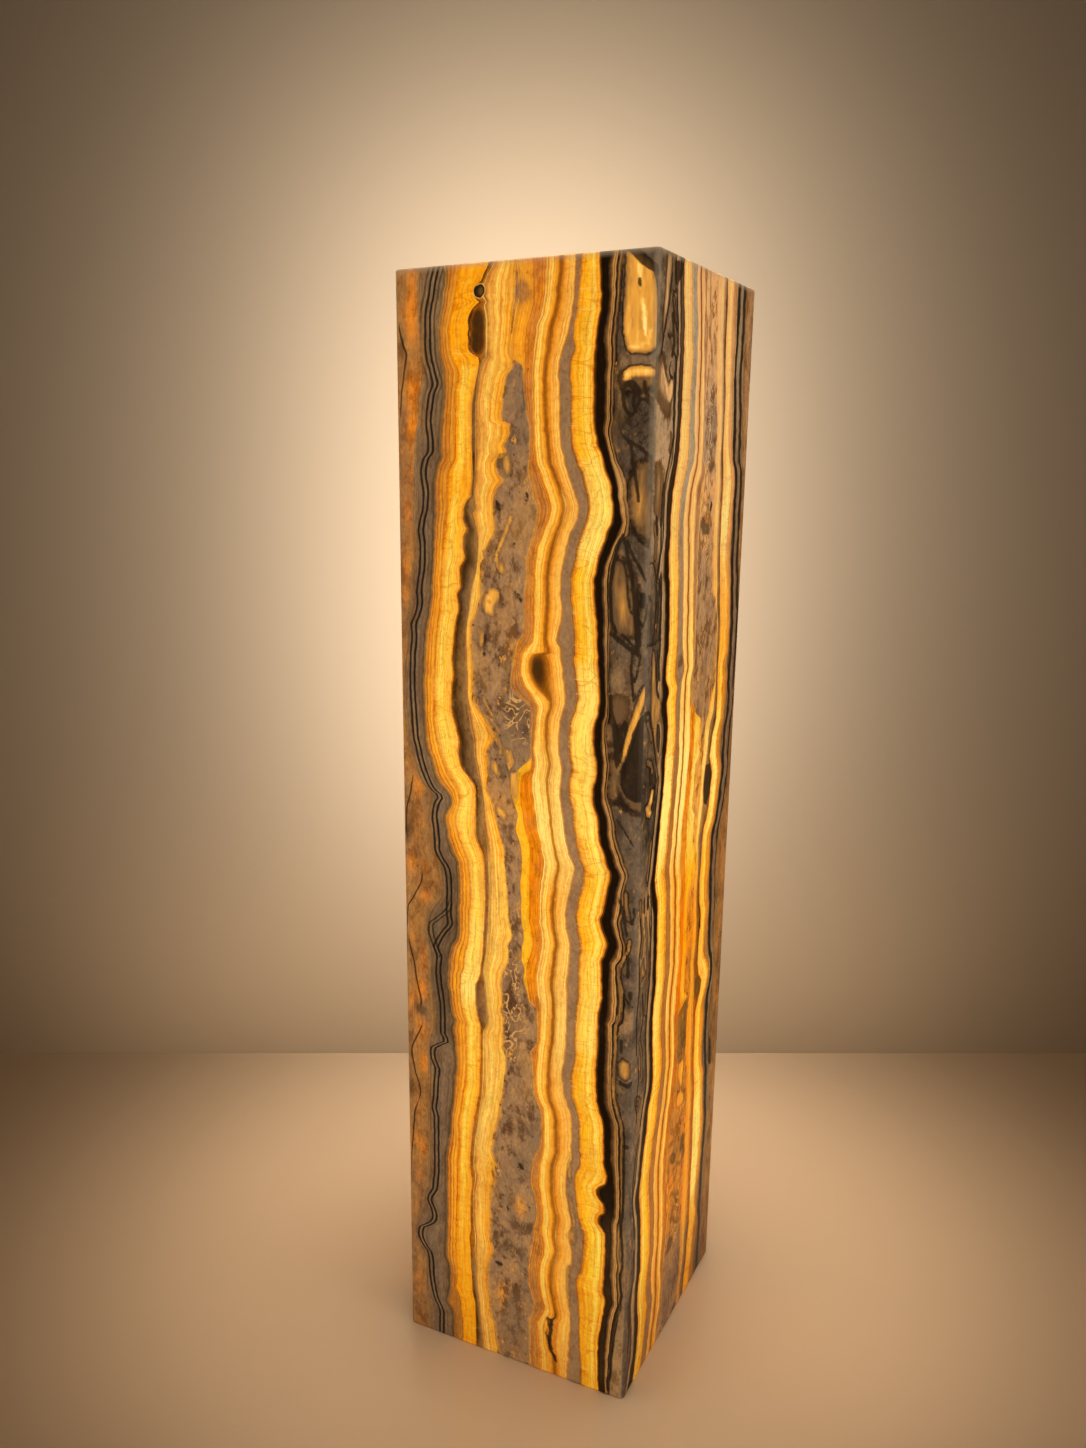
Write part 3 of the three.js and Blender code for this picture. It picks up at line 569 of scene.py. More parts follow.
RIGHT_MARKS = [
    ("warm", 0.33, 0, [(17, 999), (27, 999), (26, 985), (22, 965), (17, 950), (12, 938), (11, 950),
        (14, 972)]),
    ("ink", 0, 1.3, [(28, 985), (23, 963), (17, 948), (12, 935), (10, 926)]),
    ("ink", 0, 0, [(33, 994), (44, 996), (46, 985), (40, 977), (33, 982)]),
    ("ink", 0, 2, [(51, 1000), (50, 988), (44, 984)]),
    ("ink", 0, 1.1, [(38, 974), (32, 972), (30, 968), (33, 963), (37, 955), (42, 947), (46, 945)]),
    ("warm", 0.3, 1.6, [(33, 968), (37, 957), (42, 949)]),
    ("ink", 0, 2.2, [(32, 956), (35, 946), (38, 935), (34, 927)]),
    ("ink", 0, 1.1, [(22, 941), (28, 939), (33, 943)]),
    ("ink", 0, 1.1, [(38, 930), (42, 926), (47, 925)]),
    ("ink", 0, 1, [(33, 922), (28, 916), (31, 911), (37, 910), (41, 914)]),
    ("ink", 0, 1, [(41, 976), (43, 962), (46, 945), (48, 928)]),
    ("ink", 0, 1.6, [(44, 925), (42, 900), (42, 880), (45, 866), (38, 852), (30, 836), (24, 820),
        (22, 800), (24, 780), (18, 762), (15, 752)]),
    ("warm", 0.6, 0, [(9, 920), (14, 920), (20, 911), (27, 904), (34, 909), (39, 908), (38, 898),
        (33, 892), (27, 891), (19, 893), (11, 900), (8, 908)]),
    ("glow", 0.3, 0, [(3, 918), (12, 922), (30, 890), (28, 884), (4, 898)]),
    ("warm", 0.22, 1.2, [(37, 868), (39, 864), (36, 856)]),
    ("glow", 0.4, 0, [(9, 842), (15, 842), (20, 834), (18, 820), (13, 808), (9, 812)]),
    ("ink", 0, 3, [(26, 828), (24, 812), (22, 800)]),
    ("ink", 0, 2.4, [(11, 804), (14, 793)]),
    ("warm", 0.25, 2, [(8, 798), (12, 788), (11, 774)]),
    ("ink", 0, 1, [(0, 770), (8, 770), (12, 764), (15, 756)]),
    ("ink", 0, 0, [(25, 763), (29, 758), (30, 744), (24, 742), (21, 750)]),
    ("ink", 0, 1.2, [(15, 754), (17, 736), (15, 716), (11, 706)]),
    ("ink", 0, 1.5, [(28, 748), (29, 728), (27, 712), (30, 704), (28, 688), (31, 674)]),
    ("ink", 0, 1.1, [(0, 706), (16, 706), (31, 708)]),
    ("ink", 0, 1.8, [(2, 744), (3, 742)]),
    ("ink", 0, 0.9, [(20, 746), (22, 730), (20, 714)]),
    ("warm", 0.3, 0, [(13, 700), (18, 698), (21, 680), (24, 664), (33, 660), (38, 650), (34, 645),
        (38, 640), (32, 640), (28, 628), (31, 612), (36, 606), (33, 600), (27, 614), (21, 630),
        (15, 644), (13, 655)]),
    ("ink", 0, 1.7, [(24, 698), (24, 682), (26, 666), (30, 660)]),
    ("warm", 0.34, 1.4, [(36, 646), (43, 634), (44, 620), (40, 611), (36, 605)]),
    ("ink", 0, 0, [(29, 637), (34, 638), (38, 626), (37, 613), (34, 611), (30, 620)]),
    ("ink", 0, 1.3, [(0, 650), (9, 651), (14, 643), (20, 630), (27, 612), (33, 598), (38, 586)]),
    ("warm", 0.24, 1.8, [(7, 642), (13, 634), (17, 627)]),
    ("ink", 0, 1.8, [(2, 646), (3, 645)]),
    ("warm", 0.32, 2, [(10, 609), (17, 606), (21, 599)]),
    ("ink", 0, 0, [(13, 604), (19, 602), (19, 588), (14, 590)]),
    ("warm", 0.55, 0, [(8, 572), (14, 572), (22, 583), (27, 583), (24, 572), (18, 568), (24, 564),
        (18, 560), (11, 563)]),
    ("ink", 0, 1.4, [(38, 590), (35, 572), (31, 552), (28, 535), (24, 515), (20, 500)]),
    ("warm", 0.36, 1.3, [(25, 538), (22, 522), (18, 505)]),
    ("ink", 0, 2.5, [(22, 489), (22, 480)]),
    ("warm", 0.34, 0, [(8, 412), (14, 418), (22, 419), (17, 426), (16, 434), (11, 428)]),
    ("warm", 0.26, 1.3, [(4, 490), (7, 470), (12, 452), (10, 440)]),
    ("warm", 0.3, 1.4, [(18, 470), (22, 452), (26, 430), (27, 405), (26, 380)]),
    ("warm", 0.26, 1.4, [(13, 358), (18, 348), (20, 330), (22, 318)]),
    ("ink", 0, 1.3, [(27, 498), (30, 480), (33, 460), (33, 440), (34, 415), (30, 385), (28, 360),
        (31, 335), (34, 312), (28, 292), (22, 272)]),
    ("ink", 0, 1.2, [(5, 475), (9, 455), (5, 440), (8, 410), (4, 385), (6, 350)]),
    ("ink", 0, 1.6, [(13, 490), (14, 478)]),
    ("ink", 0, 1.2, [(16, 402), (20, 380), (14, 362)]),
    ("ink", 0, 1, [(10, 345), (14, 322), (9, 300), (13, 280)]),
    ("warm", 0.22, 1.2, [(7, 306), (14, 304), (20, 298), (14, 292), (8, 298)]),
    ("ink", 0, 1.2, [(18, 262), (12, 240), (8, 222), (9, 200), (14, 180), (17, 160)]),
    ("warm", 0.26, 1.2, [(21, 262), (14, 238), (10, 218)]),
    ("ink", 0, 1.1, [(16, 150), (17, 130), (14, 112), (8, 98), (11, 70), (9, 40)]),
    ("warm", 0.22, 1.2, [(11, 104), (7, 92), (10, 75)]),
    ("warm", 0.56, 1.3, [(121, 998), (122, 980), (126, 965), (126, 950), (132, 936), (135, 928)]),
    ("warm", 0.55, 0, [(129, 836), (136, 840), (138, 830), (142, 820), (136, 816), (134, 826),
        (129, 824)]),
    ("warm", 0.6, 0, [(126, 812), (134, 813), (140, 808), (134, 804), (127, 806)]),
    ("warm", 0.56, 0, [(131, 786), (138, 788), (141, 780), (134, 776)]),
    ("warm", 0.5, 1, [(122, 800), (121, 785), (123, 770)]),
    ("warm", 0.45, 1, [(138, 812), (146, 803), (152, 795)]),
    ("warm", 0.5, 1, [(136, 862), (143, 852), (140, 842)]),
    ("ink", 0, 2.2, [(150, 812), (148, 808)]),
    ("warm", 0.02, 4, [(127, 796), (133, 792), (142, 790)]),
    ("warm", 0.02, 2.6, [(143, 842), (150, 846)]),
    ("warm", 0, 3, [(82, 686), (80, 680), (86, 682)]),
    ("ink", 0, 0, [(168, 573), (180, 572), (186, 562), (184, 545), (175, 533), (166, 537),
        (164, 555)]),
    ("warm", 0, 0, [(165, 358), (176, 358), (184, 350), (180, 338), (170, 337), (164, 346)]),
    ("ink", 0, 1.8, [(170, 418), (172, 410)]),
    ("warm", 0.74, 0, [(126, 286), (138, 286), (139, 272), (135, 268), (139, 262), (132, 258),
        (128, 266), (124, 272)]),
    ("warm", 0.72, 0, [(124, 252), (134, 254), (146, 244), (142, 238), (130, 236), (122, 242)]),
    ("warm", 0.5, 1.6, [(108, 222), (120, 216), (134, 222)]),
    ("warm", 0.5, 1.6, [(106, 208), (118, 206), (130, 210)]),
    ("warm", 0.66, 0, [(103, 170), (110, 166), (108, 150), (112, 138), (106, 132), (102, 146)]),
    ("warm", 0.4, 1.4, [(120, 172), (130, 176), (142, 170)]),
    ("warm", 0.4, 1.4, [(116, 150), (128, 144), (134, 132)]),
    ("warm", 0.36, 1.4, [(124, 118), (134, 108), (146, 104)]),
    ("warm", 0.02, 5, [(116, 190), (122, 186)]),
    ("warm", 0.02, 4, [(146, 196), (144, 186)]),
    ("warm", 0.02, 5, [(118, 95), (122, 90)]),
    ("ink", 0, 2.4, [(222, 262), (228, 255), (224, 246), (230, 240)]),
]
# A glow mark's edges are this many times as soft as a warm one's.
GLOW_SOFTNESS = 0.3
FAR_FROM_MARK = -4.0
FAR_FROM_VEIN = 60.0


def smooth_curve(x, y, at):
    """A curve through the points (x, y), x rising, that never overshoots them, read at `at`."""
    x, y = np.asarray(x, float), np.asarray(y, float)
    step = np.diff(x)
    slope = np.diff(y) / step
    tangent = np.zeros_like(y)
    same_way = slope[1:] * slope[:-1] > 0
    mean = 2 * slope[1:] * slope[:-1] / np.where(same_way, slope[1:] + slope[:-1], 1)
    tangent[1:-1] = np.where(same_way, mean, 0)
    tangent[0], tangent[-1] = slope[0], slope[-1]
    at = np.clip(at, x[0], x[-1])
    i = np.clip(np.searchsorted(x, at) - 1, 0, len(x) - 2)
    t = (at - x[i]) / step[i]
    return (
        (1 + 2 * t) * (1 - t) ** 2 * y[i]
        + t * (1 - t) ** 2 * step[i] * tangent[i]
        + t**2 * (3 - 2 * t) * y[i + 1]
        + t**2 * (t - 1) * step[i] * tangent[i + 1]
    )


def wavering(seed, at, lengths, size):
    """A smooth irregular wave along `at`, in millimetres, for layers' small unevenness."""
    rng = np.random.default_rng(seed)
    total = np.zeros_like(at)
    for length in lengths:
        total += np.sin(2 * np.pi * at / length + rng.uniform(0, 2 * np.pi)) * rng.uniform(0.6, 1)
    return size * total / len(lengths)


def make_rows():
    """The mesh's levels as (heights, insets), where the ends' easing draws the sides in."""
    turns = np.radians(EASING_TURNS)
    low = END_EASING * (1 - np.cos(turns))
    inset = END_EASING * (1 - np.sin(turns))
    body = [END_EASING]
    while body[-1] < HEIGHT - END_EASING - 2:
        spacing = [pitch for height, pitch in ROW_SPACING if height <= body[-1]][-1]
        body.append(body[-1] + spacing)
    body = np.array(body)
    body = END_EASING + (body - END_EASING) * (HEIGHT - 2 * END_EASING) / (body[-1] - END_EASING)
    heights = np.concatenate([low, body, (HEIGHT - low)[::-1]])
    insets = np.concatenate([inset, np.zeros_like(body), inset[::-1]])
    return heights, insets


rows, row_insets = make_rows()


def curve_at_rows(points):
    """The curve through (height, value) points, read at each row."""
    return smooth_curve(*zip(*sorted(points)), rows)


def front_curve(name):
    return curve_at_rows(FRONT[name])


def right_curve(name):
    table = sorted([float(x) for x in line.split()] for line in RIGHT.strip().splitlines())
    column = 1 + RIGHT_ORDER.index(name)
    return smooth_curve([r[0] for r in table], [r[column] for r in table], rows)


def layer_starts(curve, width, seed, uneven):
    """Where each layer starts at each level, as an array [layer, row], ending with the width."""
    starts = [np.zeros_like(rows)]
    shared = wavering(seed, rows, (41, 23, 13), 0.5 * uneven)
    for k, name in enumerate(NAMES[1:], 1):
        middle = "core_middle" if name in ("core", "pair") else name
        at = curve(middle).copy()
        if name == "core":
            at -= CORE_HALF_WIDTH
        elif name == "pair":
            at += CORE_HALF_WIDTH
        own = wavering(seed + (k if name != "pair" else k - 1), rows, (17, 9.5), 0.35 * uneven)
        if name not in ("cavity", "yellow"):
            at += shared + own
        starts.append(at)
    starts.append(np.full_like(rows, width))
    return np.array(starts)


front_starts = layer_starts(front_curve, WIDTH, seed=11, uneven=1.0)
right_starts = layer_starts(right_curve, DEPTH, seed=57, uneven=1.6)


def hollow_at(levels):
    """A hollow's far lip, near lip and depth at each row, and where it is open."""
    table = np.array(levels[::-1], float)
    far, near, depth = (smooth_curve(table[:, 0], table[:, c], rows) for c in (1, 2, 3))
    is_open = (rows > table[0, 0]) & (rows < table[-1, 0])
    return far, near, depth, is_open


for opened, levels in HOLLOWS.values():
    far, near, _, is_open = hollow_at(levels)
    k = NAMES.index(opened)
    from_tips = np.minimum(rows - levels[-1][0], levels[0][0] - rows) / HOLLOW_TIP
    share = np.clip(from_tips, 0, 1) * is_open
    front_starts[k] += share * (near - front_starts[k])
    front_starts[k + 1] += share * (far - front_starts[k + 1])


def kept_apart(starts, least):
    """Pushes layers apart where they would cross, so that each keeps a sliver of width."""
    for k in range(1, len(starts) - 1):
        starts[k] = np.maximum(starts[k], starts[k - 1] + least)
    for k in range(len(starts) - 2, 0, -1):
        starts[k] = np.minimum(starts[k], starts[k + 1] - least)
    return starts


front_starts = kept_apart(front_starts, 0.3)
right_starts = kept_apart(right_starts, 0.3)


def columns_of(starts, layers_fractions):
    """The columns' places [column, row] and their layer coordinates [column]."""
    places, layer = [], []
    for k, fractions in enumerate(layers_fractions):
        for fraction in fractions:
            places.append(starts[k] + fraction * (starts[k + 1] - starts[k]))
            layer.append(k + fraction)
    places.append(starts[-1])
    layer.append(float(len(starts) - 1))
    return np.array(places), np.array(layer)


front_places, seen_layer = columns_of(front_starts, LAYERS.values())
right_places, _ = columns_of(right_starts, LAYERS.values())
J = len(seen_layer) - 1


def hidden_starts(width, seed):
    """Where each layer out of sight starts at each level, as an array [layer, row]."""
    sizes = np.array([size for _, size, _ in HIDDEN])
    starts = [np.zeros_like(rows)]
    for k, share in enumerate(np.cumsum(sizes)[:-1] / sizes.sum()):
        along = rows + 140 * share
        shared = wavering(seed, along, (470, 290), 15) + wavering(seed + 1, along, (127, 58), 4.5)
        own = wavering(seed + 2 + k, rows, (210, 83), 2.6) + wavering(seed + k, rows, (29, 17), 0.7)
        starts.append(share * width + min(1, 4.5 * share * (1 - share)) * (shared + own))
    starts.append(np.full_like(rows, width))
    return kept_apart(np.array(starts), 1.5)


left_starts = hidden_starts(DEPTH, seed=103)
back_starts = hidden_starts(WIDTH, seed=137)
hidden_fractions = [fractions for _, _, fractions in HIDDEN]
left_places, hidden_layer = columns_of(left_starts, hidden_fractions)
back_places, _ = columns_of(back_starts, hidden_fractions)
hidden_layer += SEEN_LAYERS
K = len(hidden_layer) - 1


def on_side(place, width, face):
    """Plan positions and outward normals for places along a side, arrises rounded.

    `face` gives the side's start corner, its direction along and its outward normal."""
    corner, along, outward = (np.array(v, float) for v in face)
    r = ARRIS_RADIUS
    lean = np.clip(1 - place / r, 0, 1) - np.clip(1 - (width - place) / r, 0, 1)
    turn = lean * np.pi / 4
    middle = np.clip(place, r, width - r)
    normal = np.cos(turn)[..., None] * outward - np.sin(turn)[..., None] * along
    centre = corner + middle[..., None] * along - r * outward
    return centre + r * normal, normal


SIDES = {
    "front": ((115, -127), (-1, 0), (0, -1)),
    "left": ((-115, -127), (0, 1), (-1, 0)),
    "back": ((115, 127), (-1, 0), (0, 1)),
    "right": ((115, -127), (0, 1), (1, 0)),
}


def front_hollow_depth():
    """How far each front vertex [column, row] lies behind the face, in millimetres."""
    total = np.zeros_like(front_places)
    x, y = zip(*HOLLOW_WALL)
    for _, levels in HOLLOWS.values():
        far, near, depth, is_open = hollow_at(levels)
        across = (front_places - near) / (far - near)
        inside = (across > 0) & (across < 1) & is_open
        total += np.where(inside, depth * smooth_curve(x, y, np.clip(across, 0, 1)), 0)
    return total


def segment_distance(u, z, a, b):
    """Distance of each place (u, z) from the straight line between a and b."""
    du, dz = b[0] - a[0], b[1] - a[1]
    length = du * du + dz * dz
    t = 0 if length == 0 else np.clip(((u - a[0]) * du + (z - a[1]) * dz) / length, 0, 1)
    return np.hypot(u - a[0] - t * du, z - a[1] - t * dz)


def inside_mark(u, z, half_width, points):
    """How deep inside a mark each place is, in millimetres, negative outside it."""
    closed = half_width == 0
    ends = points[1:] + points[:1] if closed else points[1:]
    edge = np.full(u.shape, np.inf)
    inside = np.zeros(u.shape, bool)
    for a, b in zip(points, ends):
        edge = np.minimum(edge, segment_distance(u, z, a, b))
        if a[1] != b[1]:
            crosses = (a[1] > z) != (b[1] > z)
            inside ^= crosses & (u < a[0] + (z - a[1]) / (b[1] - a[1]) * (b[0] - a[0]))
    return np.where(inside, edge, -edge) if closed else half_width - edge


def blobs_at(places, blobs):
    """The sum of soft blobs at each place [column, row]."""
    total = np.zeros(places.shape)
    for place, height, across, along, strength in blobs:
        far = ((places - place) / across) ** 2 + ((rows - height) / along) ** 2
        total += strength * np.exp(-np.minimum(far, 30))
    return total


def columns_in(layer, name):
    """Which columns belong to a layer."""
    return np.floor(np.minimum(layer, SEEN_LAYERS - 0.01)) == NAMES.index(name)


def shades_at(places, layer, shades, blobs):
    """The shade at each place [column, row]."""
    total = blobs_at(places, blobs)
    for name, points in shades.items():
        total[columns_in(layer, name)] += curve_at_rows(points)
    return total


def veins_at(places, layer):
    """Each front place's distance past its layer's vein, stretched where the vein is faint."""
    total = np.full(places.shape, FAR_FROM_VEIN)
    for name in VEINED_LAYERS:
        own = columns_in(layer, name)
        faint = np.maximum(curve_at_rows(FRONT_VEINS[name + "_strength"]), 0.02)
        total[own] = (places[own] - curve_at_rows(FRONT_VEINS[name + "_place"])) / faint
    return np.clip(total, -FAR_FROM_VEIN, FAR_FROM_VEIN)


def draw_marks(places, marks):
    """The "warm" and "ink" depths and the warm marks' tone at each place [column, row]."""
    z = np.broadcast_to(rows, places.shape)
    warm = np.full(places.shape, FAR_FROM_MARK)
    ink = warm.copy()
    tone = np.zeros(places.shape)
    for kind, mark_tone, half_width, points in marks:
        softness = GLOW_SOFTNESS if kind == "glow" else 1
        depth = inside_mark(places, z, half_width, points) * softness
        if kind == "ink":
            ink = np.maximum(ink, depth)
        else:
            deep = depth > 0.3
            tone = np.where(deep | (depth > warm), mark_tone, tone)
            warm = np.maximum(warm, depth)
    return {"warm": warm, "ink": ink, "tone": tone}


def side_values(name, places, layer):
    """The vertex attributes of one side, each as [column, row]."""
    none = np.full(places.shape, FAR_FROM_MARK)
    values = {"warm": none, "ink": none}
    for key in ("tone", "hollow", "shade", "curls"):
        values[key] = 0 * none
    values["vein"] = 0 * none + FAR_FROM_VEIN
    if name == "front":
        values.update(draw_marks(places, FRONT_MARKS))
        values["shade"] = shades_at(places, layer, FRONT_SHADES, FRONT_BLOBS)
        values["curls"] = blobs_at(places, FRONT_CURLS)
        values["hollow"] = front_hollow_depth()
        values["vein"] = veins_at(places, layer)
        values["line"] = places - front_curve("line")
    elif name == "right":
        values.update(draw_marks(places, RIGHT_MARKS))
        values["shade"] = shades_at(places, layer, RIGHT_SHADES, RIGHT_BLOBS)
        values["curls"] = blobs_at(places, RIGHT_CURLS)
        values["line"] = (places - right_curve("line")) / 3.7
    else:
        starts = left_starts if name == "left" else back_starts
        values["line"] = places - starts[1] - 0.36 * (starts[2] - starts[1])
        values["shade"] = wavering(7, places * 1.3 + rows, (311, 131), 1.1)
        values["curls"] = 0.15 + wavering(9, places * 0.7 + rows * 1.3, (173, 89), 0.9)
    values["layer"] = np.broadcast_to(layer[:, None], places.shape)
    return values


sides = {
    "front": (front_places, WIDTH, seen_layer),
    "left": (left_places, DEPTH, hidden_layer),
    "back": (back_places, WIDTH, hidden_layer),
    "right": (right_places, DEPTH, seen_layer),
}
ATTRIBUTES = ("layer", "line", "vein", "warm", "ink", "tone", "hollow", "shade", "curls")
solid, values = {}, {}
for name, (places, width, layer) in sides.items():
    values[name] = side_values(name, places, layer)
    plan, normal = on_side(places, width, SIDES[name])
    plan = plan - (row_insets[None, :] + values[name]["hollow"])[..., None] * normal
    height = np.broadcast_to(rows, places.shape)[..., None]
    solid[name] = np.concatenate([plan, height], axis=-1)


def joined(front, left, back, right):
    """One ring of columns: the front from the near arris, the left side, the back side from the
    far arris, and the right side back to the near arris."""
    return np.concatenate([front[:J], left[:K], back[K:0:-1], right[J:0:-1]])


ring = joined(*(solid[name] for name in SIDES))
ring_values = {key: joined(*(values[name][key] for name in SIDES)) for key in ATTRIBUTES}
RING = len(ring)
ROWS = len(rows)
CAP_STEPS = 12


def ring_pairs():
    """The two ring columns that each layer line of the top and base joins."""
    near = [(j, (2 * J + 2 * K - j) % RING) for j in range(J)]
    far = [(J + k, J + 2 * K - k) for k in range(K + 1)]
    return near + far


vertices = [ring.reshape(-1, 3)]
attribute_parts = {key: [ring_values[key].reshape(-1)] for key in ATTRIBUTES}
faces = []
uvs = []
# Each side's share of the bake map's width. The caps take the strip right of CAP_U.
UV_SPANS = {"front": 0.37, "left": 0.12, "back": 0.12, "right": 0.26}
CAP_U, CAP_U_SPAN, CAP_V_SPAN = 0.88, 0.11, 0.25
TOP_V, BASE_V = 0.05, 0.40


def ring_u():
    """The bake map's horizontal place of each ring column, with the closing one."""
    parts, start = [], 0.0
    for name, flip in (("front", 0), ("left", 0), ("back", 1), ("right", 1)):
        places, width, _ = sides[name]
        share = places.mean(axis=1) / width
        share = (1 - share[::-1]) if flip else share
        parts.append(start + UV_SPANS[name] * share[:-1])
        start += UV_SPANS[name]
    return np.append(np.concatenate(parts), start)


across = ring_u()
for c in range(RING):
    d = (c + 1) % RING
    for r in range(ROWS - 1):
        faces.append((c * ROWS + r, c * ROWS + r + 1, d * ROWS + r + 1, d * ROWS + r))
        low, high = rows[r] / HEIGHT, rows[r + 1] / HEIGHT
        uvs += [(across[c], low), (across[c], high), (across[c + 1], high), (across[c + 1], low)]
side_face_count = len(faces)


def cap_lines(row):
    """Adds the points of one end, on lines that sway a little from each front column to its layer
    on the right side, and gives each line's vertex numbers."""
    pairs = ring_pairs()
    next_index = sum(len(v) for v in vertices)
    lines, new_points = [], []
    new_values = {key: [] for key in ATTRIBUTES}
    steps = np.arange(1, CAP_STEPS) / CAP_STEPS
    for s, (a, b) in enumerate(pairs):
        if a == b:
            lines.append([a * ROWS + row] * (CAP_STEPS + 1))
            continue
        start, end = ring[a, row], ring[b, row]
        span = end - start
        reach = np.hypot(span[0], span[1])
        sway = 0.035 * reach * np.sin(np.pi * steps) * math.sin(2.3 * s / len(pairs) * math.pi)
        push = np.array([-0.70, 0.72, 0.0])
        new_points.append(start + steps[:, None] * span + sway[:, None] * push)
        for key in ATTRIBUTES:
            va, vb = ring_values[key][a, row], ring_values[key][b, row]
            new_values[key].append(va + steps * (vb - va))
        inner = list(range(next_index, next_index + CAP_STEPS - 1))
        lines.append([a * ROWS + row] + inner + [b * ROWS + row])
        next_index += len(inner)
    vertices.append(np.concatenate(new_points))
    for key in ATTRIBUTES:
        attribute_parts[key].append(np.concatenate(new_values[key]))
    return lines


def add_cap(row, facing_up, v_start):
    """Closes one end of the column."""
    lines = cap_lines(row)
    points = np.concatenate(vertices)
    for low, high in zip(lines, lines[1:]):
        for i in range(CAP_STEPS):
            face = list(dict.fromkeys([low[i], low[i + 1], high[i + 1], high[i]]))
            if facing_up:
                face = face[::-1]
            faces.append(tuple(face))
            for index in face:
                x, y, _ = points[index]
                u = CAP_U + CAP_U_SPAN * (x / WIDTH + 0.5)
                uvs.append((u, v_start + CAP_V_SPAN * (y / DEPTH + 0.5)))


add_cap(ROWS - 1, True, TOP_V)
add_cap(0, False, BASE_V)

points = np.concatenate(vertices) * MM
mesh = bpy.data.meshes.new("onyx")
mesh.from_pydata(points.tolist(), [], faces)
for key in ATTRIBUTES:
    attribute = mesh.attributes.new(key, "FLOAT", "POINT")
    attribute.data.foreach_set("value", np.concatenate(attribute_parts[key]).astype(np.float32))
uv_map = mesh.uv_layers.new(name="OFBake")
uv_map.data.foreach_set("uv", np.array(uvs, np.float32).ravel())
smooth = np.zeros(len(faces), bool)
smooth[:side_face_count] = True
mesh.polygons.foreach_set("use_smooth", smooth)
mesh.validate()
mesh.update()
column = bpy.data.objects.new("onyx_stone", mesh)
bpy.context.scene.collection.objects.link(column)


# Colours -----------------------------------------------------------------------------------------


def rgba(red, green, blue):
    """An sRGB colour, 0 to 255, as Blender's linear colour."""
    def linear(c):
        c /= 255
        return c / 12.92 if c <= 0.04045 else ((c + 0.055) / 1.055) ** 2.4

    return (linear(red), linear(green), linear(blue), 1.0)


def ramp_stops(points):
    """Colour ramp stops from (fraction, red, green, blue) points."""
    return [(fraction, rgba(*colour)) for fraction, *colour in points]


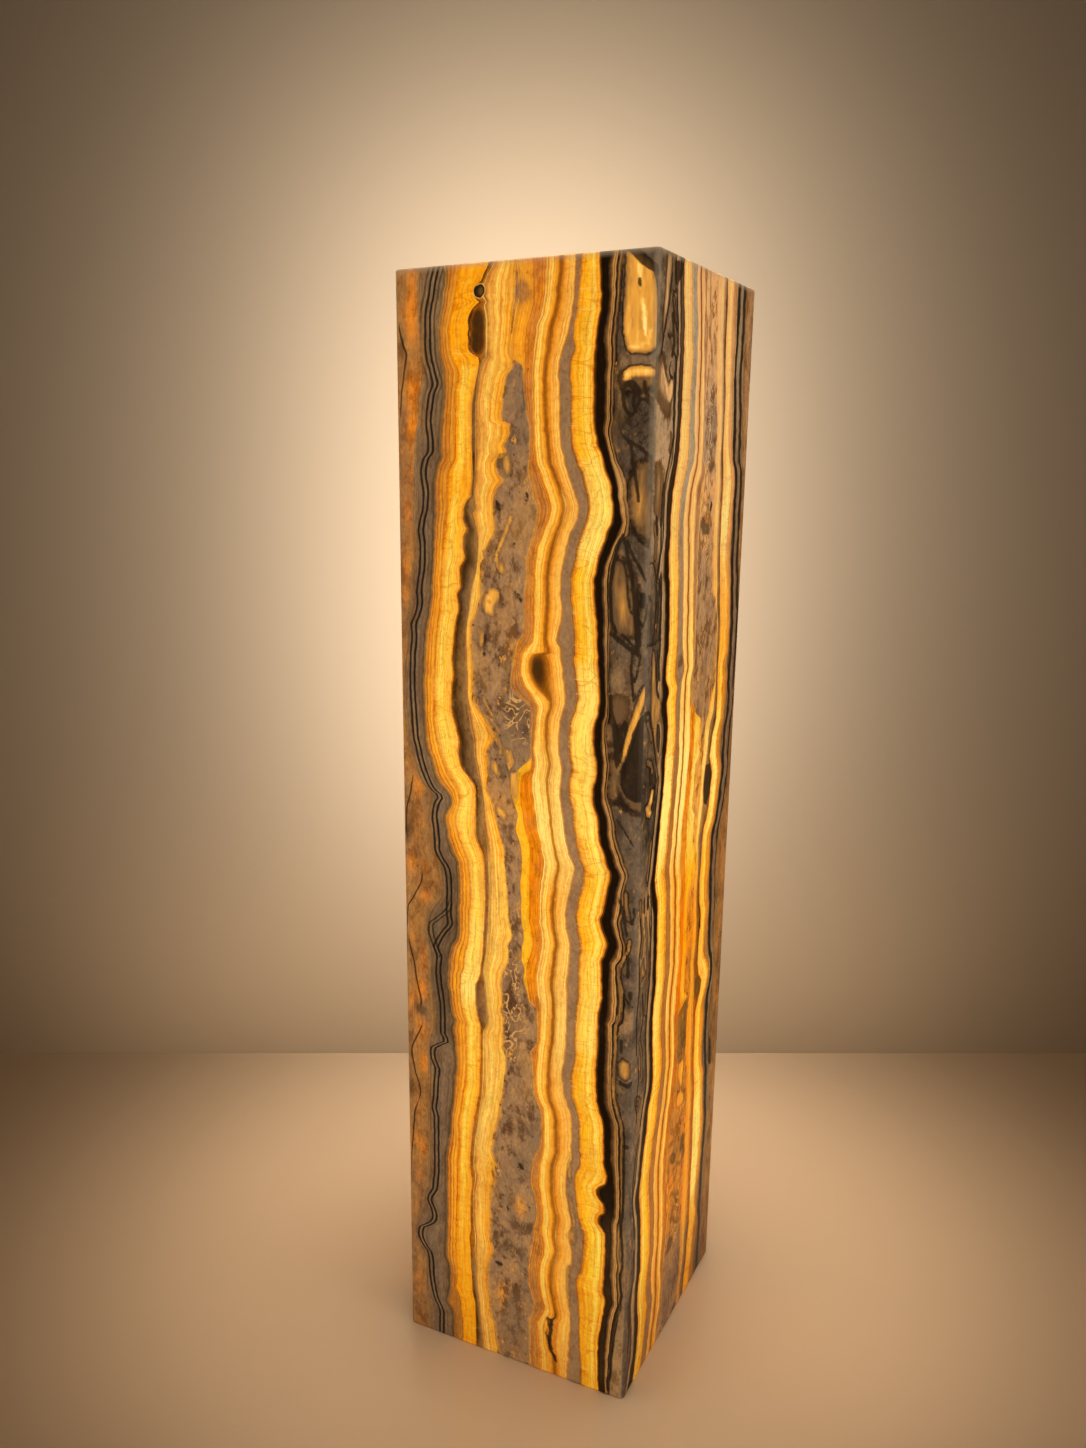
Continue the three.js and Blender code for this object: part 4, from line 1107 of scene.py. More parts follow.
# Each layer's colours from its near side, as (fraction of its width, red, green, blue).
COLOURS = {
    "corner": [(0, 104, 86, 72), (0.97, 86, 69, 54)],
    "tan": [(0, 40, 28, 18), (0.08, 56, 40, 27), (0.17, 98, 68, 40), (0.25, 166, 118, 68),
        (0.32, 76, 53, 33), (0.38, 32, 22, 14), (0.45, 32, 22, 14), (0.53, 214, 160, 94),
        (0.6, 128, 86, 46), (0.67, 200, 146, 82), (0.76, 124, 84, 46), (0.88, 76, 50, 27),
        (0.98, 44, 29, 16)],
    "black": [(0.05, 26, 16, 8), (0.75, 26, 16, 8), (0.97, 100, 56, 16)],
    "wide_yellow": [(0.02, 206, 120, 26), (0.06, 246, 160, 40), (0.1, 255, 206, 84),
        (0.15, 242, 150, 28), (0.2, 255, 202, 58), (0.32, 255, 226, 104), (0.4, 255, 216, 82),
        (0.45, 250, 178, 38), (0.51, 255, 206, 66), (0.66, 255, 194, 44), (0.8, 254, 180, 34),
        (0.9, 248, 166, 32), (0.985, 190, 118, 38)],
    "grey": [(0.05, 152, 104, 54), (0.18, 150, 114, 80), (0.8, 148, 114, 83), (0.93, 166, 114, 60),
        (0.99, 214, 134, 46)],
    "peach": [(0.03, 236, 158, 60), (0.12, 255, 206, 104), (0.2, 248, 174, 68),
        (0.32, 255, 202, 96), (0.45, 248, 172, 66), (0.6, 252, 182, 72), (0.75, 240, 154, 46),
        (0.88, 206, 126, 30), (0.97, 172, 102, 22)],
    "core": [(0.05, 160, 94, 20), (0.5, 144, 82, 14), (0.95, 168, 100, 22)],
    "pair": [(0.03, 190, 114, 24), (0.12, 226, 144, 34), (0.24, 250, 172, 48),
        (0.36, 255, 190, 70), (0.43, 240, 150, 38), (0.5, 255, 198, 82), (0.62, 255, 220, 112),
        (0.7, 254, 186, 60), (0.78, 255, 218, 108), (0.89, 250, 164, 46), (0.97, 200, 116, 30)],
    "orange": [(0.03, 206, 124, 38), (0.2, 226, 146, 58), (0.35, 190, 120, 52),
        (0.5, 230, 146, 50), (0.65, 182, 118, 54), (0.8, 222, 138, 46), (0.97, 188, 122, 54)],
    "amber": [(0.03, 246, 156, 34), (0.5, 255, 176, 44), (0.97, 232, 152, 44)],
    "breccia": [(0.03, 156, 119, 85), (0.92, 148, 112, 81), (0.985, 204, 142, 62)],
    "outer_peach": [(0.03, 232, 150, 46), (0.12, 255, 182, 54), (0.24, 248, 166, 46),
        (0.36, 255, 200, 84), (0.46, 246, 164, 52), (0.58, 255, 212, 104), (0.7, 248, 178, 72),
        (0.82, 244, 176, 78), (0.93, 196, 132, 56), (0.98, 160, 104, 42)],
    "cavity": [(0.03, 154, 112, 64), (0.35, 142, 104, 60), (0.65, 114, 80, 42), (0.85, 74, 46, 18),
        (0.97, 120, 72, 18)],
    "yellow": [(0.02, 206, 126, 30), (0.08, 250, 168, 46), (0.3, 255, 186, 52),
        (0.5, 255, 200, 62), (0.66, 255, 218, 90), (0.76, 255, 192, 52), (0.88, 250, 166, 36),
        (0.97, 208, 120, 24)],
    "outer_orange": [(0.03, 208, 120, 22), (0.1, 248, 162, 40), (0.24, 255, 180, 52),
        (0.34, 200, 118, 28), (0.42, 248, 164, 42), (0.54, 236, 148, 40), (0.62, 164, 100, 34),
        (0.72, 218, 138, 46), (0.86, 152, 104, 52), (0.97, 122, 92, 58)],
    "lined_grey": [(0.04, 84, 67, 48), (0.12, 116, 93, 70), (0.4, 124, 101, 80),
        (0.7, 116, 93, 74), (0.96, 128, 98, 68)],
    "rind": [(0.05, 142, 102, 60), (0.5, 160, 108, 58), (0.95, 150, 110, 70)],
}
# For each layer: how strongly it shows growth lines, mottling and cross fibres, then the colours
# that it leans towards where its shade is low and where it is high.
LOOKS = {
    "corner": ((0.1, 0.7, 0), (34, 27, 20), (178, 137, 92)),
    "tan": ((0.3, 0.25, 0), (54, 39, 25), (224, 170, 106)),
    "black": ((0.05, 0, 0), (26, 16, 8), (110, 84, 58)),
    "wide_yellow": ((0.6, 0.12, 1), (250, 166, 28), (255, 240, 134)),
    "grey": ((0.15, 0.3, 0), (172, 104, 34), (156, 134, 106)),
    "peach": ((0.7, 0.1, 0.4), (206, 130, 46), (255, 226, 128)),
    "core": ((0.3, 0.2, 0), (44, 28, 14), (218, 138, 34)),
    "pair": ((0.7, 0.1, 0.4), (218, 134, 38), (255, 230, 130)),
    "orange": ((0.9, 0.45, 0.1), (160, 114, 66), (242, 142, 0)),
    "amber": ((0.6, 0.35, 0.3), (168, 108, 54), (255, 190, 36)),
    "breccia": ((0.05, 1, 0), (84, 66, 50), (246, 160, 42)),
    "outer_peach": ((0.8, 0.25, 0.4), (206, 146, 74), (255, 220, 110)),
    "cavity": ((0.2, 0.6, 0), (60, 38, 18), (190, 106, 14)),
    "yellow": ((0.7, 0.12, 0.9), (252, 164, 12), (255, 240, 134)),
    "outer_orange": ((0.8, 0.2, 0.2), (160, 106, 50), (255, 192, 66)),
    "lined_grey": ((0.6, 0.3, 0), (64, 50, 34), (152, 126, 94)),
    "rind": ((0.4, 0.6, 0), (92, 66, 42), (240, 138, 30)),
}
TRAITS = {name: (*traits, 1.0) for name, (traits, _, _) in LOOKS.items()}
DIM = {name: rgba(*dim) for name, (_, dim, _) in LOOKS.items()}
BRIGHT = {name: rgba(*bright) for name, (_, _, bright) in LOOKS.items()}

BROAD_GREY_LINES = ramp_stops([
    (0, 44, 33, 22), (0.1, 60, 46, 32), (0.2, 150, 118, 84), (0.38, 184, 148, 108),
    (0.46, 120, 92, 62), (0.56, 172, 136, 96), (0.76, 120, 90, 58), (0.88, 46, 33, 21),
    (1, 30, 21, 13),
])
WARM_TONES = ramp_stops([
    (0, 104, 76, 50), (0.25, 150, 106, 58), (0.45, 200, 138, 62), (0.65, 232, 162, 66),
    (0.82, 250, 192, 92), (1, 255, 230, 150),
])
# The black lines in the lined grey layer, as (place, half width, strength). The outer two show
# only near the top, where their strength is None here.
BLACK_LINES = [(0.0, 1.7, 0.95), (4.5, 1.6, 0.92), (-4.2, 1.3, None), (9.0, 1.4, None)]
# How strongly the stone's painted glow shines at each height, and that glow's tint.
GLOW = [(0, 0.66), (0.05, 0.8), (0.15, 0.95), (0.3, 1.05), (0.55, 1.14), (0.75, 1.05),
        (0.9, 1.02), (1.0, 1.0)]
GLOW_TINT = (0.86, 0.82, 0.7)
# Where a painted glow brightens the right face most, by height.
BRIGHT_BAND = [(0.32, 0), (0.36, 0.5), (0.4, 0.1), (0.48, 0), (0.54, 1), (0.59, 1), (0.64, 0.1),
               (0.7, 0)]
# Edges of regions in metres, each as (not yet there, fully there).
ON_RIGHT_FACE = (0.1135, 0.1149)
ON_FRONT_FACE = (-0.1195, -0.1205)
ON_TOP_RIM = (0.9945, 0.9995)
NEAR_ARRIS = (0.2362, 0.2395)
ROUND_VUG = (-0.0355, 0.0, 0.9788)


class Nodes:
    """Short ways to add nodes to one material. A value may be a number, a colour or a socket."""

    def __init__(self, tree):
        self.tree = tree

    def add(self, kind, **settings):
        node = self.tree.nodes.new("ShaderNode" + kind)
        for key, value in settings.items():
            setattr(node, key, value)
        return node

    def put(self, socket, value):
        if isinstance(value, bpy.types.NodeSocket):
            self.tree.links.new(value, socket)
        else:
            socket.default_value = value

    def add_fed(self, kind, *values, **settings):
        """A node with values put into its inputs in turn."""
        node = self.add(kind, **settings)
        for socket, value in zip(node.inputs, values):
            self.put(socket, value)
        return node

    def math(self, operation, *values):
        return self.add_fed("Math", *values, operation=operation).outputs[0]

    def mul(self, first, *others):
        """The product of values, taken from the left."""
        for other in others:
            first = self.math("MULTIPLY", first, other)
        return first

    def plus(self, a, b):
        return self.math("ADD", a, b)

    def minus(self, a, b):
        return self.math("SUBTRACT", a, b)

    def most(self, a, b):
        return self.math("MAXIMUM", a, b)

    def size(self, value):
        return self.math("ABSOLUTE", value)

    def step(self, value, low, high, to_low=0.0, to_high=1.0):
        """A smooth step of value, from to_low at low to to_high at high."""
        values = (value, low, high, to_low, to_high)
        return self.add_fed("MapRange", *values, interpolation_type="SMOOTHSTEP").outputs[0]

    def mix(self, share, a, b, blend="MIX"):
        node = self.add("Mix", data_type="RGBA", blend_type=blend)
        self.put(node.inputs["Factor"], share)
        colours = [s for s in node.inputs if s.type == "RGBA"]
        self.put(colours[0], a)
        self.put(colours[1], b)
        return next(s for s in node.outputs if s.type == "RGBA")

    def vector(self, x, y, z):
        return self.add_fed("CombineXYZ", x, y, z).outputs[0]

    def parts(self, kind, value):
        return self.add_fed(kind, value).outputs

    def scaled(self, vector, scale):
        return self.add_fed("VectorMath", vector, scale, operation="MULTIPLY").outputs[0]

    def centred(self, value, size):
        """A noise's value, moved from around 0.5 to around 0 and scaled."""
        return self.mul(self.minus(value, 0.5), size)

    def noise(self, vector, scale, detail=2.0, roughness=0.5, distortion=0.0):
        node = self.add("TexNoise")
        node.inputs["Distortion"].default_value = distortion
        self.put(node.inputs["Vector"], vector)
        self.put(node.inputs["Scale"], scale)
        self.put(node.inputs["Detail"], detail)
        self.put(node.inputs["Roughness"], roughness)
        return node.outputs[0]

    def cells(self, vector, scale):
        node = self.add("TexVoronoi", feature="F1")
        self.put(node.inputs["Vector"], vector)
        self.put(node.inputs["Scale"], scale)
        return node.outputs["Distance"]

    def ramp(self, value, stops, interpolation="LINEAR"):
        node = self.add("ValToRGB")
        node.color_ramp.interpolation = interpolation
        elements = node.color_ramp.elements
        while len(elements) < len(stops):
            elements.new(1.0)
        for element, (place, _) in zip(elements, stops):
            element.position = place
        for element, (_, colour) in zip(elements, stops):
            element.color = colour
        self.put(node.inputs[0], value)
        return node.outputs[0]


MOST_STOPS = 32
ALL_LAYERS = NAMES + [name for name, _, _ in HIDDEN]


def colours_of(number):
    """A layer's ramp stops, by its number outwards from the near arris."""
    stops = ramp_stops(COLOURS[ALL_LAYERS[number]])
    if number < SEEN_LAYERS:
        return stops
    return [(1 - fraction, colour) for fraction, colour in reversed(stops)]


def ramp_groups():
    """The layers split into runs (first, one past last) that each fit in one colour ramp."""
    groups, first, count = [], 0, 0
    for number in range(len(ALL_LAYERS)):
        own = len(colours_of(number))
        if count + own > MOST_STOPS:
            groups.append((first, number))
            first, count = number, 0
        count += own
    return groups + [(first, len(ALL_LAYERS))]


class Stone(Nodes):
    """The onyx's nodes, and what its steps share: the place, the mesh's attributes, the layer
    coordinate, how its layer is broken up, and the colour so far."""

    def __init__(self, tree):
        super().__init__(tree)
        self.place = self.add("TexCoord").outputs["Object"]
        self.x, self.y, self.z = self.parts("SeparateXYZ", self.place)
        self.read = {
            name: self.add("Attribute", attribute_name=name).outputs["Fac"] for name in ATTRIBUTES
        }
        # A little fine waviness keeps the layers' edges from looking drawn.
        waver = self.noise(self.place, scale=170.0, detail=3.0)
        self.ripple = self.noise(self.place, scale=60.0)
        offset = self.plus(self.centred(waver, 0.07), self.centred(self.ripple, 0.08))
        self.layer = self.plus(self.read["layer"], offset)
        self.lined, self.mottled, self.fibrous = self.parts("SeparateColor", self.per_layer(TRAITS))
        self.broken = self.step(self.mottled, 0.4, 0.9)
        self.on_right = self.step(self.x, *ON_RIGHT_FACE)
        self.colour = self.layer_colour()

    def layer_colour(self):
        """The colour of the layer coordinate, from one ramp for each few layers."""
        result = None
        for first, last in ramp_groups():
            stops = [
                ((number + fraction - first) / (last - first), colour)
                for number in range(first, last)
                for fraction, colour in colours_of(number)
            ]
            past_first = self.minus(self.layer, float(first))
            colour = self.ramp(self.math("DIVIDE", past_first, float(last - first)), stops)
            if result is None:
                result = colour
            else:
                is_past = self.math("GREATER_THAN", self.layer, float(first))
                result = self.mix(is_past, result, colour)
        return result

    def per_layer(self, values):
        """A value or colour that is the same all over each layer."""
        count = len(ALL_LAYERS)
        stops = [(k / count, values[name]) for k, name in enumerate(ALL_LAYERS)]
        return self.ramp(self.math("DIVIDE", self.layer, float(count)), stops, "CONSTANT")

    def between(self, value, low, full_from, full_to, high):
        """A share that is 1 from full_from to full_to, and 0 outside low to high."""
        return self.mul(self.step(value, low, full_from), self.step(value, high, full_to))

    def lay(self, share, colour):
        """Lays a colour over the stone by a share."""
        self.colour = self.mix(share, self.colour, colour)

    def tinted(self, tint, blend="MULTIPLY"):
        """The stone's colour with a tint."""
        return self.mix(1.0, self.colour, rgba(*tint), blend)

    def tint(self, share, tint, blend="MULTIPLY"):
        self.lay(share, self.tinted(tint, blend))

    def brightness(self):
        return self.parts("RGBToBW", self.colour)[0]


def lean_colours(n):
    """Each layer leans towards its dim or its bright colour."""
    n.cloud = n.noise(n.place, scale=26.0, detail=3.0, roughness=0.6)
    lean = n.plus(n.read["shade"], n.centred(n.cloud, 0.5))
    n.lay(n.step(lean, 0.0, -1.0, 0.0, 0.85), n.per_layer(DIM))
    # The bright colour leaves a layer's edges as they are, beyond the near layers.
    across = n.math("FRACT", n.layer)
    inner = n.between(across, 0.02, 0.13, 0.87, 0.98)
    inner = n.most(inner, n.math("GREATER_THAN", n.layer, 5.0))
    n.lay(n.mul(n.step(lean, 0.0, 1.0, 0.0, 0.8), inner), n.per_layer(BRIGHT))
    # On the right face the near grey lines are broader and paler.
    in_tan = n.between(n.layer, 0.97, 1.0, 2.0, 2.03)
    n.lay(n.mul(n.on_right, in_tan), n.ramp(n.minus(n.layer, 1.0), BROAD_GREY_LINES))


def growth_lines(n):
    """Fine lines that run with the layers, then cross fibres, which are crystals that grew square
    to them, and a few fine cracks."""
    drift = n.mul(n.noise(n.place, scale=9.0), 2.0)

    def along(across, up, detail, roughness):
        place = n.vector(n.mul(n.layer, across), n.mul(n.z, up), drift)
        return n.noise(place, 1.0, detail, roughness)

    coarse = along(5.5, 6.0, 3.0, 0.6)
    fine = along(15.0, 9.0, 3.0, 0.6)
    drawn = n.step(n.size(n.centred(coarse, 1.0)), 0.05, 0.0)
    n.shadow = n.tinted((206, 150, 104))
    n.lay(n.mul(drawn, n.lined, 0.65), n.shadow)
    n.lay(n.mul(n.step(fine, 0.5, 0.66), n.lined, 0.6), n.shadow)
    n.tint(n.mul(n.step(fine, 0.5, 0.32), n.lined, 0.45), (255, 214, 122), "SOFT_LIGHT")

    fibre = along(1.2, 330.0, 3.0, 0.7)
    n.tint(n.mul(n.step(fibre, 0.54, 0.7), n.fibrous, 0.4), (232, 160, 74))
    n.lay(n.mul(n.step(fibre, 0.44, 0.3), n.fibrous, 0.4, 0.6), rgba(255, 226, 132))
    crack = along(0.5, 62.0, 1.0, 0.5)
    n.lay(n.mul(n.step(n.size(n.centred(crack, 1.0)), 0.012, 0.0), n.fibrous, 0.55), n.shadow)


def mottling(n):
    """Patches, flecks and specks, strongest where the stone is broken up."""
    n.clouds = n.noise(n.scaled(n.place, (1.0, 1.0, 0.65)), scale=92.0, detail=6.0, roughness=0.7)
    n.grains = n.noise(n.scaled(n.place, (1.0, 1.0, 0.6)), scale=230.0, detail=3.0, roughness=0.6)
    n.tint(n.mul(n.step(n.clouds, 0.48, 0.62), n.mottled, 0.85), (144, 130, 122))
    pale = n.mix(0.5, n.colour, rgba(214, 156, 86))
    n.lay(n.mul(n.step(n.clouds, 0.47, 0.34), n.mottled, 0.5), pale)
    n.tint(n.mul(n.step(n.grains, 0.5, 0.72), n.mul(n.mottled, 0.32)), (160, 146, 134))
    broad = n.noise(n.scaled(n.place, (1.0, 1.0, 0.5)), scale=27.0, detail=3.0, roughness=0.55)
    n.lay(n.mul(n.step(broad, 0.5, 0.66), n.mul(n.mottled, 0.5)), rgba(112, 92, 74))
    n.lay(n.mul(n.step(broad, 0.46, 0.34), n.mul(n.mottled, 0.4)), rgba(178, 128, 72))
    flecks = n.noise(n.scaled(n.place, (1.0, 1.0, 0.55)), scale=150.0, detail=3.0, roughness=0.6)
    fleck_places = n.mul(n.step(flecks, 0.6, 0.68), n.step(n.cloud, 0.46, 0.6))
    n.lay(n.mul(fleck_places, n.broken, 0.75), rgba(220, 150, 66))
    specks = n.mul(n.step(n.cells(n.place, scale=104.0), 0.17, 0.07), n.step(n.grains, 0.4, 0.54))
    n.lay(n.mul(specks, n.broken, 0.8), rgba(46, 37, 30))


def fine_grain(n):
    """Fine grain and small pits all over, and amber fragments in the broken stone out of sight."""
    grain = n.noise(n.scaled(n.place, (1.0, 1.0, 0.6)), scale=430.0, detail=3.0, roughness=0.65)
    n.lay(n.mul(n.step(grain, 0.5, 0.68), 0.3), n.shadow)
    n.tint(n.mul(n.step(grain, 0.48, 0.32), 0.4), (255, 226, 170), "SOFT_LIGHT")
    pits = n.mul(n.step(n.cells(n.place, scale=210.0), 0.2, 0.08), n.step(n.clouds, 0.44, 0.6))
    pit_strength = n.mix(n.mottled, rgba(128, 128, 128), rgba(235, 235, 235))
    n.tint(n.mul(pits, pit_strength), (118, 96, 84))

    fragments = n.noise(n.scaled(n.place, (1.0, 1.0, 0.6)), scale=44.0, detail=2.0, roughness=0.45)
    out_of_sight = n.step(n.layer, float(SEEN_LAYERS), SEEN_LAYERS + 0.3)
    n.lay(n.mul(n.step(fragments, 0.62, 0.655), n.broken, out_of_sight, 0.8), rgba(234, 164, 62))


def curled_lines(n):
    """Thin curled lines, black near the near arris, pale on darker stone elsewhere."""
    curls = n.read["curls"]
    swirl = n.noise(n.scaled(n.place, (1.0, 1.0, 0.8)), scale=70.0, distortion=1.7)
    curl_line = n.step(n.size(n.centred(swirl, 1.0)), 0.05, 0.015)
    curl_line = n.mul(curl_line, n.broken, n.step(curls, 0.25, 0.8))
    curl_colour = n.mix(n.step(n.layer, 1.0, 0.9), rgba(222, 164, 98), rgba(20, 15, 11))
    darker = n.step(n.layer, 1.0, 1.1, 0.0, 0.6)
    n.tint(n.mul(n.step(curls, 0.25, 0.9), n.broken, darker), (206, 200, 196))
    n.lay(n.mul(curl_line, 0.76), curl_colour)


def black_lines(n):
    """The black lines in the lined grey layer, and the veins beside them."""
    in_lined = n.between(n.layer, 15.0, 15.03, 16.0, 16.06)
    in_hidden = n.between(n.layer, 18.0, 18.03, 18.97, 19.0)
    fine = n.noise(n.place, scale=95.0)
    wobble = n.plus(n.centred(fine, 1.6), n.centred(n.ripple, 1.2))
    line_place = n.plus(n.read["line"], wobble)
    near_top = n.step(n.z, 0.86, 0.93, 0.12, 0.6)
    lines = 0.0
    for middle, reach, strength in BLACK_LINES:
        away = n.size(n.minus(line_place, middle))
        strength = near_top if strength is None else strength
        lines = n.most(lines, n.mul(n.step(away, reach, 0.6), strength))
    n.lay(n.mul(lines, n.plus(in_lined, in_hidden)), rgba(26, 20, 15))

    vein_place = n.plus(n.read["vein"], wobble)
    beside = n.step(n.layer, 16.05, 16.0, 0.0, 0.8)
    for middle, reach, strength in ((0.0, 1.6, 0.85), (-4.6, 1.4, beside)):
        away = n.size(n.minus(vein_place, middle))
        n.lay(n.mul(n.step(away, reach, 0.5), strength), rgba(34, 26, 19))


def marks_and_hollows(n):
    """Warm islands and black strokes, mostly near the near arris, and painted shade in hollows."""
    warm = n.read["warm"]
    rough = n.centred(n.noise(n.place, scale=230.0, detail=4.0, roughness=0.6), 3.0)
    streaks = n.noise(n.scaled(n.place, (1.0, 1.0, 0.22)), scale=240.0, detail=3.0)
    tone = n.plus(n.read["tone"], n.step(warm, 0.0, 3.2, -0.32, 0.0))
    warm_colour = n.ramp(n.plus(tone, n.centred(streaks, 0.75)), WARM_TONES)
    edge = n.plus(warm, rough)
    n.tint(n.mul(n.step(edge, -2.5, -1.3), n.step(n.layer, 1.2, 0.9, 0.25, 0.75)), (110, 84, 60))
    n.lay(n.step(edge, -1.1, 0.6), warm_colour)
    ink_colour = n.mix(streaks, rgba(20, 15, 11), rgba(58, 43, 30))
    ink_edge = n.plus(n.read["ink"], n.mul(rough, 0.7))
    n.lay(n.mul(n.step(ink_edge, -1.1, 0.3), 0.92), ink_colour)

    # Painted shade: the hollows are darkened most where they are deepest.
    n.lay(n.mul(n.step(n.read["hollow"], 0.3, 4.6), 0.88), rgba(44, 30, 15))

    # The round vug is finer than the mesh can show, so its ring is painted as well.
    from_vug = n.add_fed("VectorMath", n.vector(n.x, 0.0, n.z), ROUND_VUG, operation="DISTANCE")
    ring = n.plus(from_vug.outputs["Value"], n.centred(n.grains, 0.0012))
    on_front = n.step(n.y, *ON_FRONT_FACE)
    # A painted highlight on the vug's lip.
    vug_rim_highlight = n.mul(n.step(ring, 0.0060, 0.0055), n.step(ring, 0.0047, 0.0052), on_front)
    n.lay(n.mul(vug_rim_highlight, 0.5), rgba(250, 190, 90))
    # Painted shade inside the vug.
    vug_painted_shade = n.mix(n.step(ring, 0.0046, 0.0012), rgba(42, 28, 14), rgba(98, 68, 36))
    n.lay(n.mul(n.step(ring, 0.0052, 0.0046), on_front), vug_painted_shade)


def right_face_light(n):
    """A painted sheen pales the right face's top, and a painted glow brightens its middle."""
    brightness = n.brightness()
    # A painted sheen pales the top of the right face, but not its darkest stone.
    pale = n.mul(n.step(n.z, 0.62, 0.92), n.step(brightness, 0.06, 0.34))
    n.lay(n.mul(pale, n.on_right, 0.26), rgba(208, 196, 180))
    bright_band = n.ramp(n.z, [(height, (v, v, v, 1)) for height, v in BRIGHT_BAND])
    bright_band = n.mul(bright_band, n.on_right, n.step(brightness, 0.3, 0.55))
    n.lay(n.mul(bright_band, 0.42), rgba(255, 246, 150))

    # The middle of its lower half is a deeper orange, and painted shade darkens its foot.
    among = n.between(n.layer, 7.9, 8.2, 12.9, 13.1)
    deep_orange = n.mul(n.step(n.z, 0.5, 0.42), n.step(n.z, 0.06, 0.13), among)
    n.tint(n.mul(deep_orange, n.on_right), (255, 226, 152))
    n.tint(n.mul(n.step(n.z, 0.13, 0.05), n.on_right), (230, 220, 216))


def painted_rim_sheen(n):
    """A painted sheen greys the polished top rim and the upper near arris."""
    top_rim_sheen = n.step(n.z, *ON_TOP_RIM)
    near_arris_sheen = n.step(n.plus(n.x, n.mul(n.y, -1.0)), *NEAR_ARRIS)
    near_arris_sheen = n.mul(near_arris_sheen, n.step(n.z, 0.55, 0.95, 0.05, 0.35))
    n.lay(n.most(n.mul(top_rim_sheen, 0.5), near_arris_sheen), rgba(150, 134, 112))


def make_onyx():
    material = bpy.data.materials.new("banded_onyx")
    material.use_nodes = True
    material.node_tree.nodes.clear()
    n = Stone(material.node_tree)
    for step in (lean_colours, growth_lines, mottling, fine_grain, curled_lines, black_lines,
                 marks_and_hollows, right_face_light, painted_rim_sheen):
        step(n)

    # The painted glow, the stone's own emission with no lamp inside, fades towards the ends.
    glow = n.ramp(n.z, [(height, (*(v * c for c in GLOW_TINT), 1)) for height, v in GLOW])
    shader = n.add("BsdfPrincipled")
    base = n.mix(1.0, n.colour, (0.55, 0.55, 0.55, 1), "MULTIPLY")
    n.put(shader.inputs["Base Color"], base)
    n.put(shader.inputs["Emission Color"], n.mix(1.0, n.colour, glow, "MULTIPLY"))
    shader.inputs["Emission Strength"].default_value = 1.15
    shader.inputs["Roughness"].default_value = 0.16
    shader.inputs["IOR"].default_value = 1.5
    shader.inputs["Specular IOR Level"].default_value = 0.02
    output = n.add("OutputMaterial")
    n.tree.links.new(shader.outputs[0], output.inputs[0])
    return material


column.data.materials.append(make_onyx())
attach(column, "root")
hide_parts("onyx_column")


# Stage -------------------------------------------------------------------------------------------

# The photograph's camera, solved from the column's six visible corners.
PHOTO_HEIGHT = 1448
FOCAL_PIXELS = 1208.58
SHIFT_PIXELS = (59.07, 49.26)
SENSOR_HEIGHT = 36.0
CAMERA_PLACE = (0.4461, -1.0282, 0.8393)
CAMERA_PITCH, CAMERA_AZIMUTH = 13.993, 27.907
# The floor is the top of a wide low step. Seen from the camera, its far edge meets the wall, which
# stands well behind it and so hides nothing in a view from behind. Distances from the camera:
FLOOR_REACH = 1.645
WALL_DISTANCE = 2.72
GROUND = -0.55
SIDE_REACH, FLOOR_LENGTH, WALL_TOP = 3.0, 4.5, 3.2

azimuth = math.radians(CAMERA_AZIMUTH)
ahead = np.array([-math.sin(azimuth), math.cos(azimuth), 0])
aside = np.array([math.cos(azimuth), math.sin(azimuth), 0])
up = np.array([0, 0, 1.0])
below_camera = np.array([CAMERA_PLACE[0], CAMERA_PLACE[1], 0])
floor_edge = below_camera + FLOOR_REACH * ahead
wall_middle = below_camera + WALL_DISTANCE * ahead


def plain_material(name, colour, roughness):
    material = bpy.data.materials.new(name)
    material.use_nodes = True
    shader = material.node_tree.nodes["Principled BSDF"]
    shader.inputs["Base Color"].default_value = rgba(*colour)
    shader.inputs["Roughness"].default_value = roughness
    return material


def add_plane(name, near, far, material):
    """A stage plane as wide as the room, from a near line to a far one, by their middles."""
    corners = [near - SIDE_REACH * aside, near + SIDE_REACH * aside,
               far + SIDE_REACH * aside, far - SIDE_REACH * aside]
    plane = bpy.data.meshes.new(name)
    plane.from_pydata([tuple(corner) for corner in corners], [], [(0, 1, 2, 3)])
    plane.materials.append(material)
    made = bpy.data.objects.new(name, plane)
    bpy.context.scene.collection.objects.link(made)


pale_floor = plain_material("pale_floor", (206, 182, 154), roughness=0.16)
pale_wall = plain_material("pale_wall", (186, 166, 138), roughness=0.9)
step_foot = floor_edge + GROUND * up
wall_foot = wall_middle + GROUND * up
add_plane("floor", floor_edge - FLOOR_LENGTH * ahead, floor_edge, pale_floor)
add_plane("floor_front", floor_edge, step_foot, pale_floor)
add_plane("ground", step_foot, wall_foot, pale_floor)
add_plane("wall", wall_foot, wall_middle + WALL_TOP * up, pale_wall)


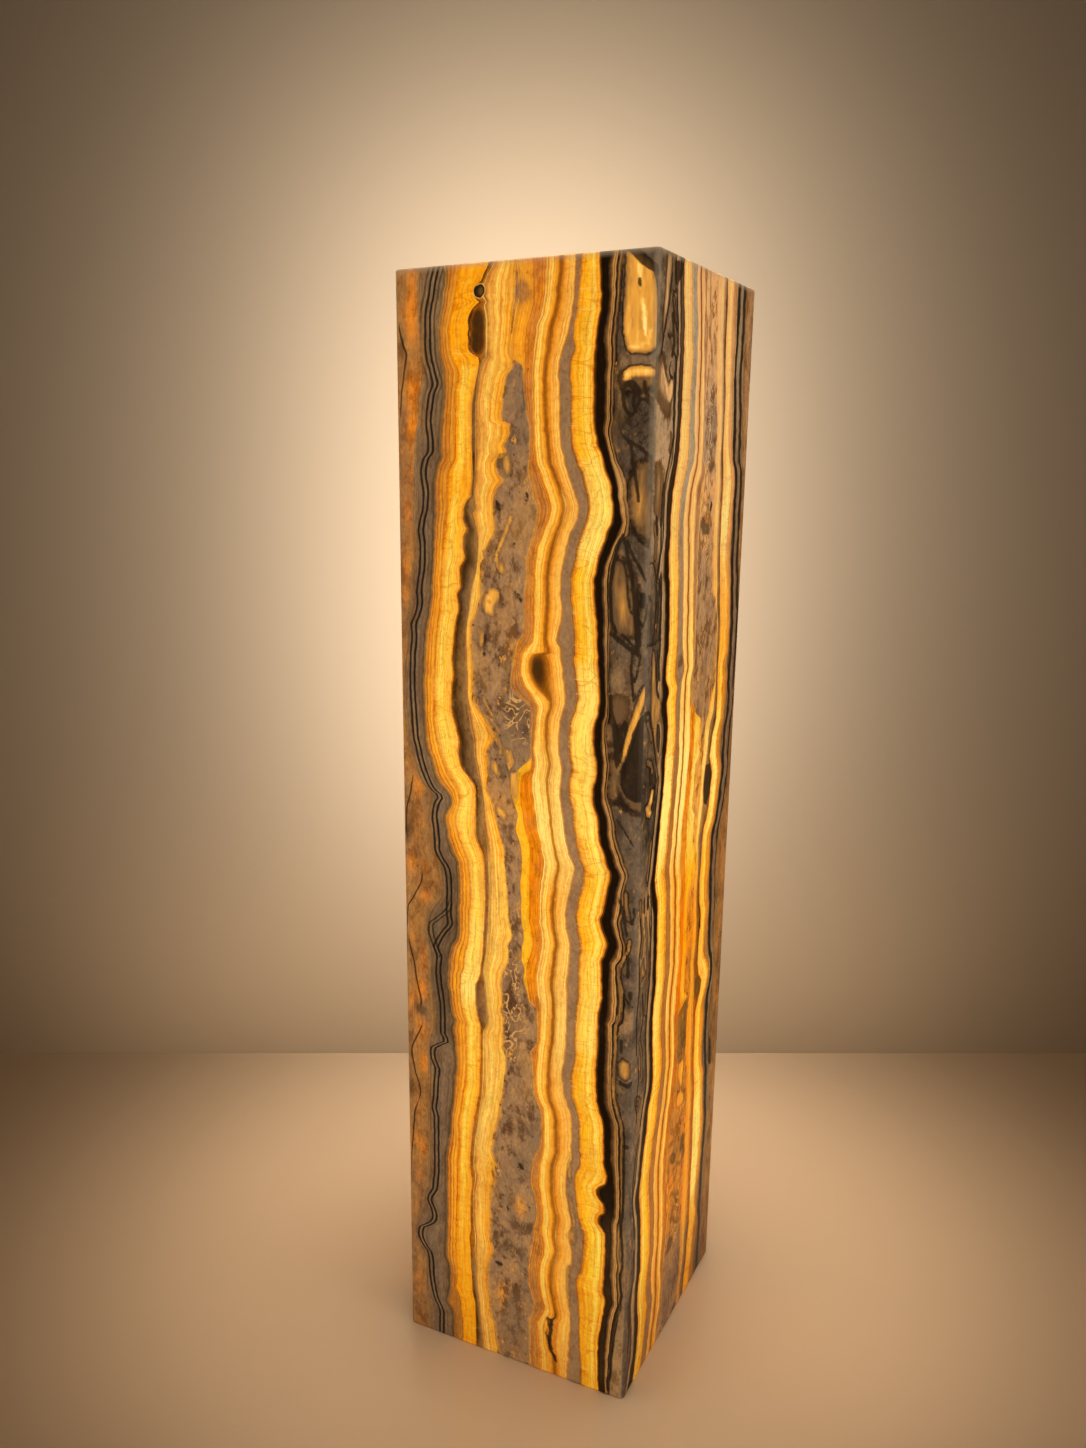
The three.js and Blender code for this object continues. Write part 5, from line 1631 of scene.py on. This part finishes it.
def area_light(name, place, at, size, power, colour, spread=180, reflected=False):
    """A soft rectangular lamp that the camera doesn't see. `size` is its width and height. Glossy
    surfaces show it only if it is `reflected`."""
    light = bpy.data.lights.new(name, "AREA")
    light.shape = "RECTANGLE"
    light.size, light.size_y = size
    light.spread = math.radians(spread)
    light.energy = power
    light.color = colour
    made = bpy.data.objects.new(name, light)
    bpy.context.scene.collection.objects.link(made)
    made.location = place
    made.rotation_euler = (Vector(at) - made.location).to_track_quat("-Z", "Y").to_euler()
    made.visible_camera = False
    made.visible_glossy = reflected


glow_place = wall_middle + 0.11 * aside - 0.56 * ahead + 0.73 * up
wash_place = wall_middle + 0.1 * aside - 0.5 * ahead - 0.4 * up
wash_at = wall_middle + 0.1 * aside + 0.15 * up
area_light("wall_glow", glow_place, glow_place + ahead, size=(0.68, 1.5), power=17.5,
           colour=(1.0, 0.94, 0.9))
area_light("wall_wash", wash_place, wash_at, size=(1.9, 0.3), power=3.4, colour=(1.0, 0.79, 0.58))
area_light("overhead", (0.045, -0.022, 2.0), (-0.055, 0.138, 0), size=(0.45, 0.45), power=2.9,
           colour=(1.0, 0.82, 0.63), spread=38)
area_light("front_fill", (1.6, -2.2, 2.0), (0, 0, 0.5), size=(1.6, 1.6), power=1.0,
           colour=(1.0, 0.9, 0.76), reflected=True)
world = bpy.data.worlds.new("studio")
world.use_nodes = True
background = world.node_tree.nodes["Background"]
background.inputs["Color"].default_value = (1.0, 0.78, 0.56, 1)
background.inputs["Strength"].default_value = 0.05
bpy.context.scene.world = world

lens = bpy.data.cameras.new("camera")
lens.sensor_fit = "VERTICAL"
lens.sensor_height = SENSOR_HEIGHT
lens.lens = FOCAL_PIXELS * SENSOR_HEIGHT / PHOTO_HEIGHT
lens.shift_x, lens.shift_y = (pixels / PHOTO_HEIGHT for pixels in SHIFT_PIXELS)
camera = bpy.data.objects.new("camera", lens)
camera.location = CAMERA_PLACE
camera.rotation_euler = (math.radians(90 - CAMERA_PITCH), 0, azimuth)
bpy.context.scene.collection.objects.link(camera)
bpy.context.scene.camera = camera
bpy.context.scene.view_settings.view_transform = "Standard"
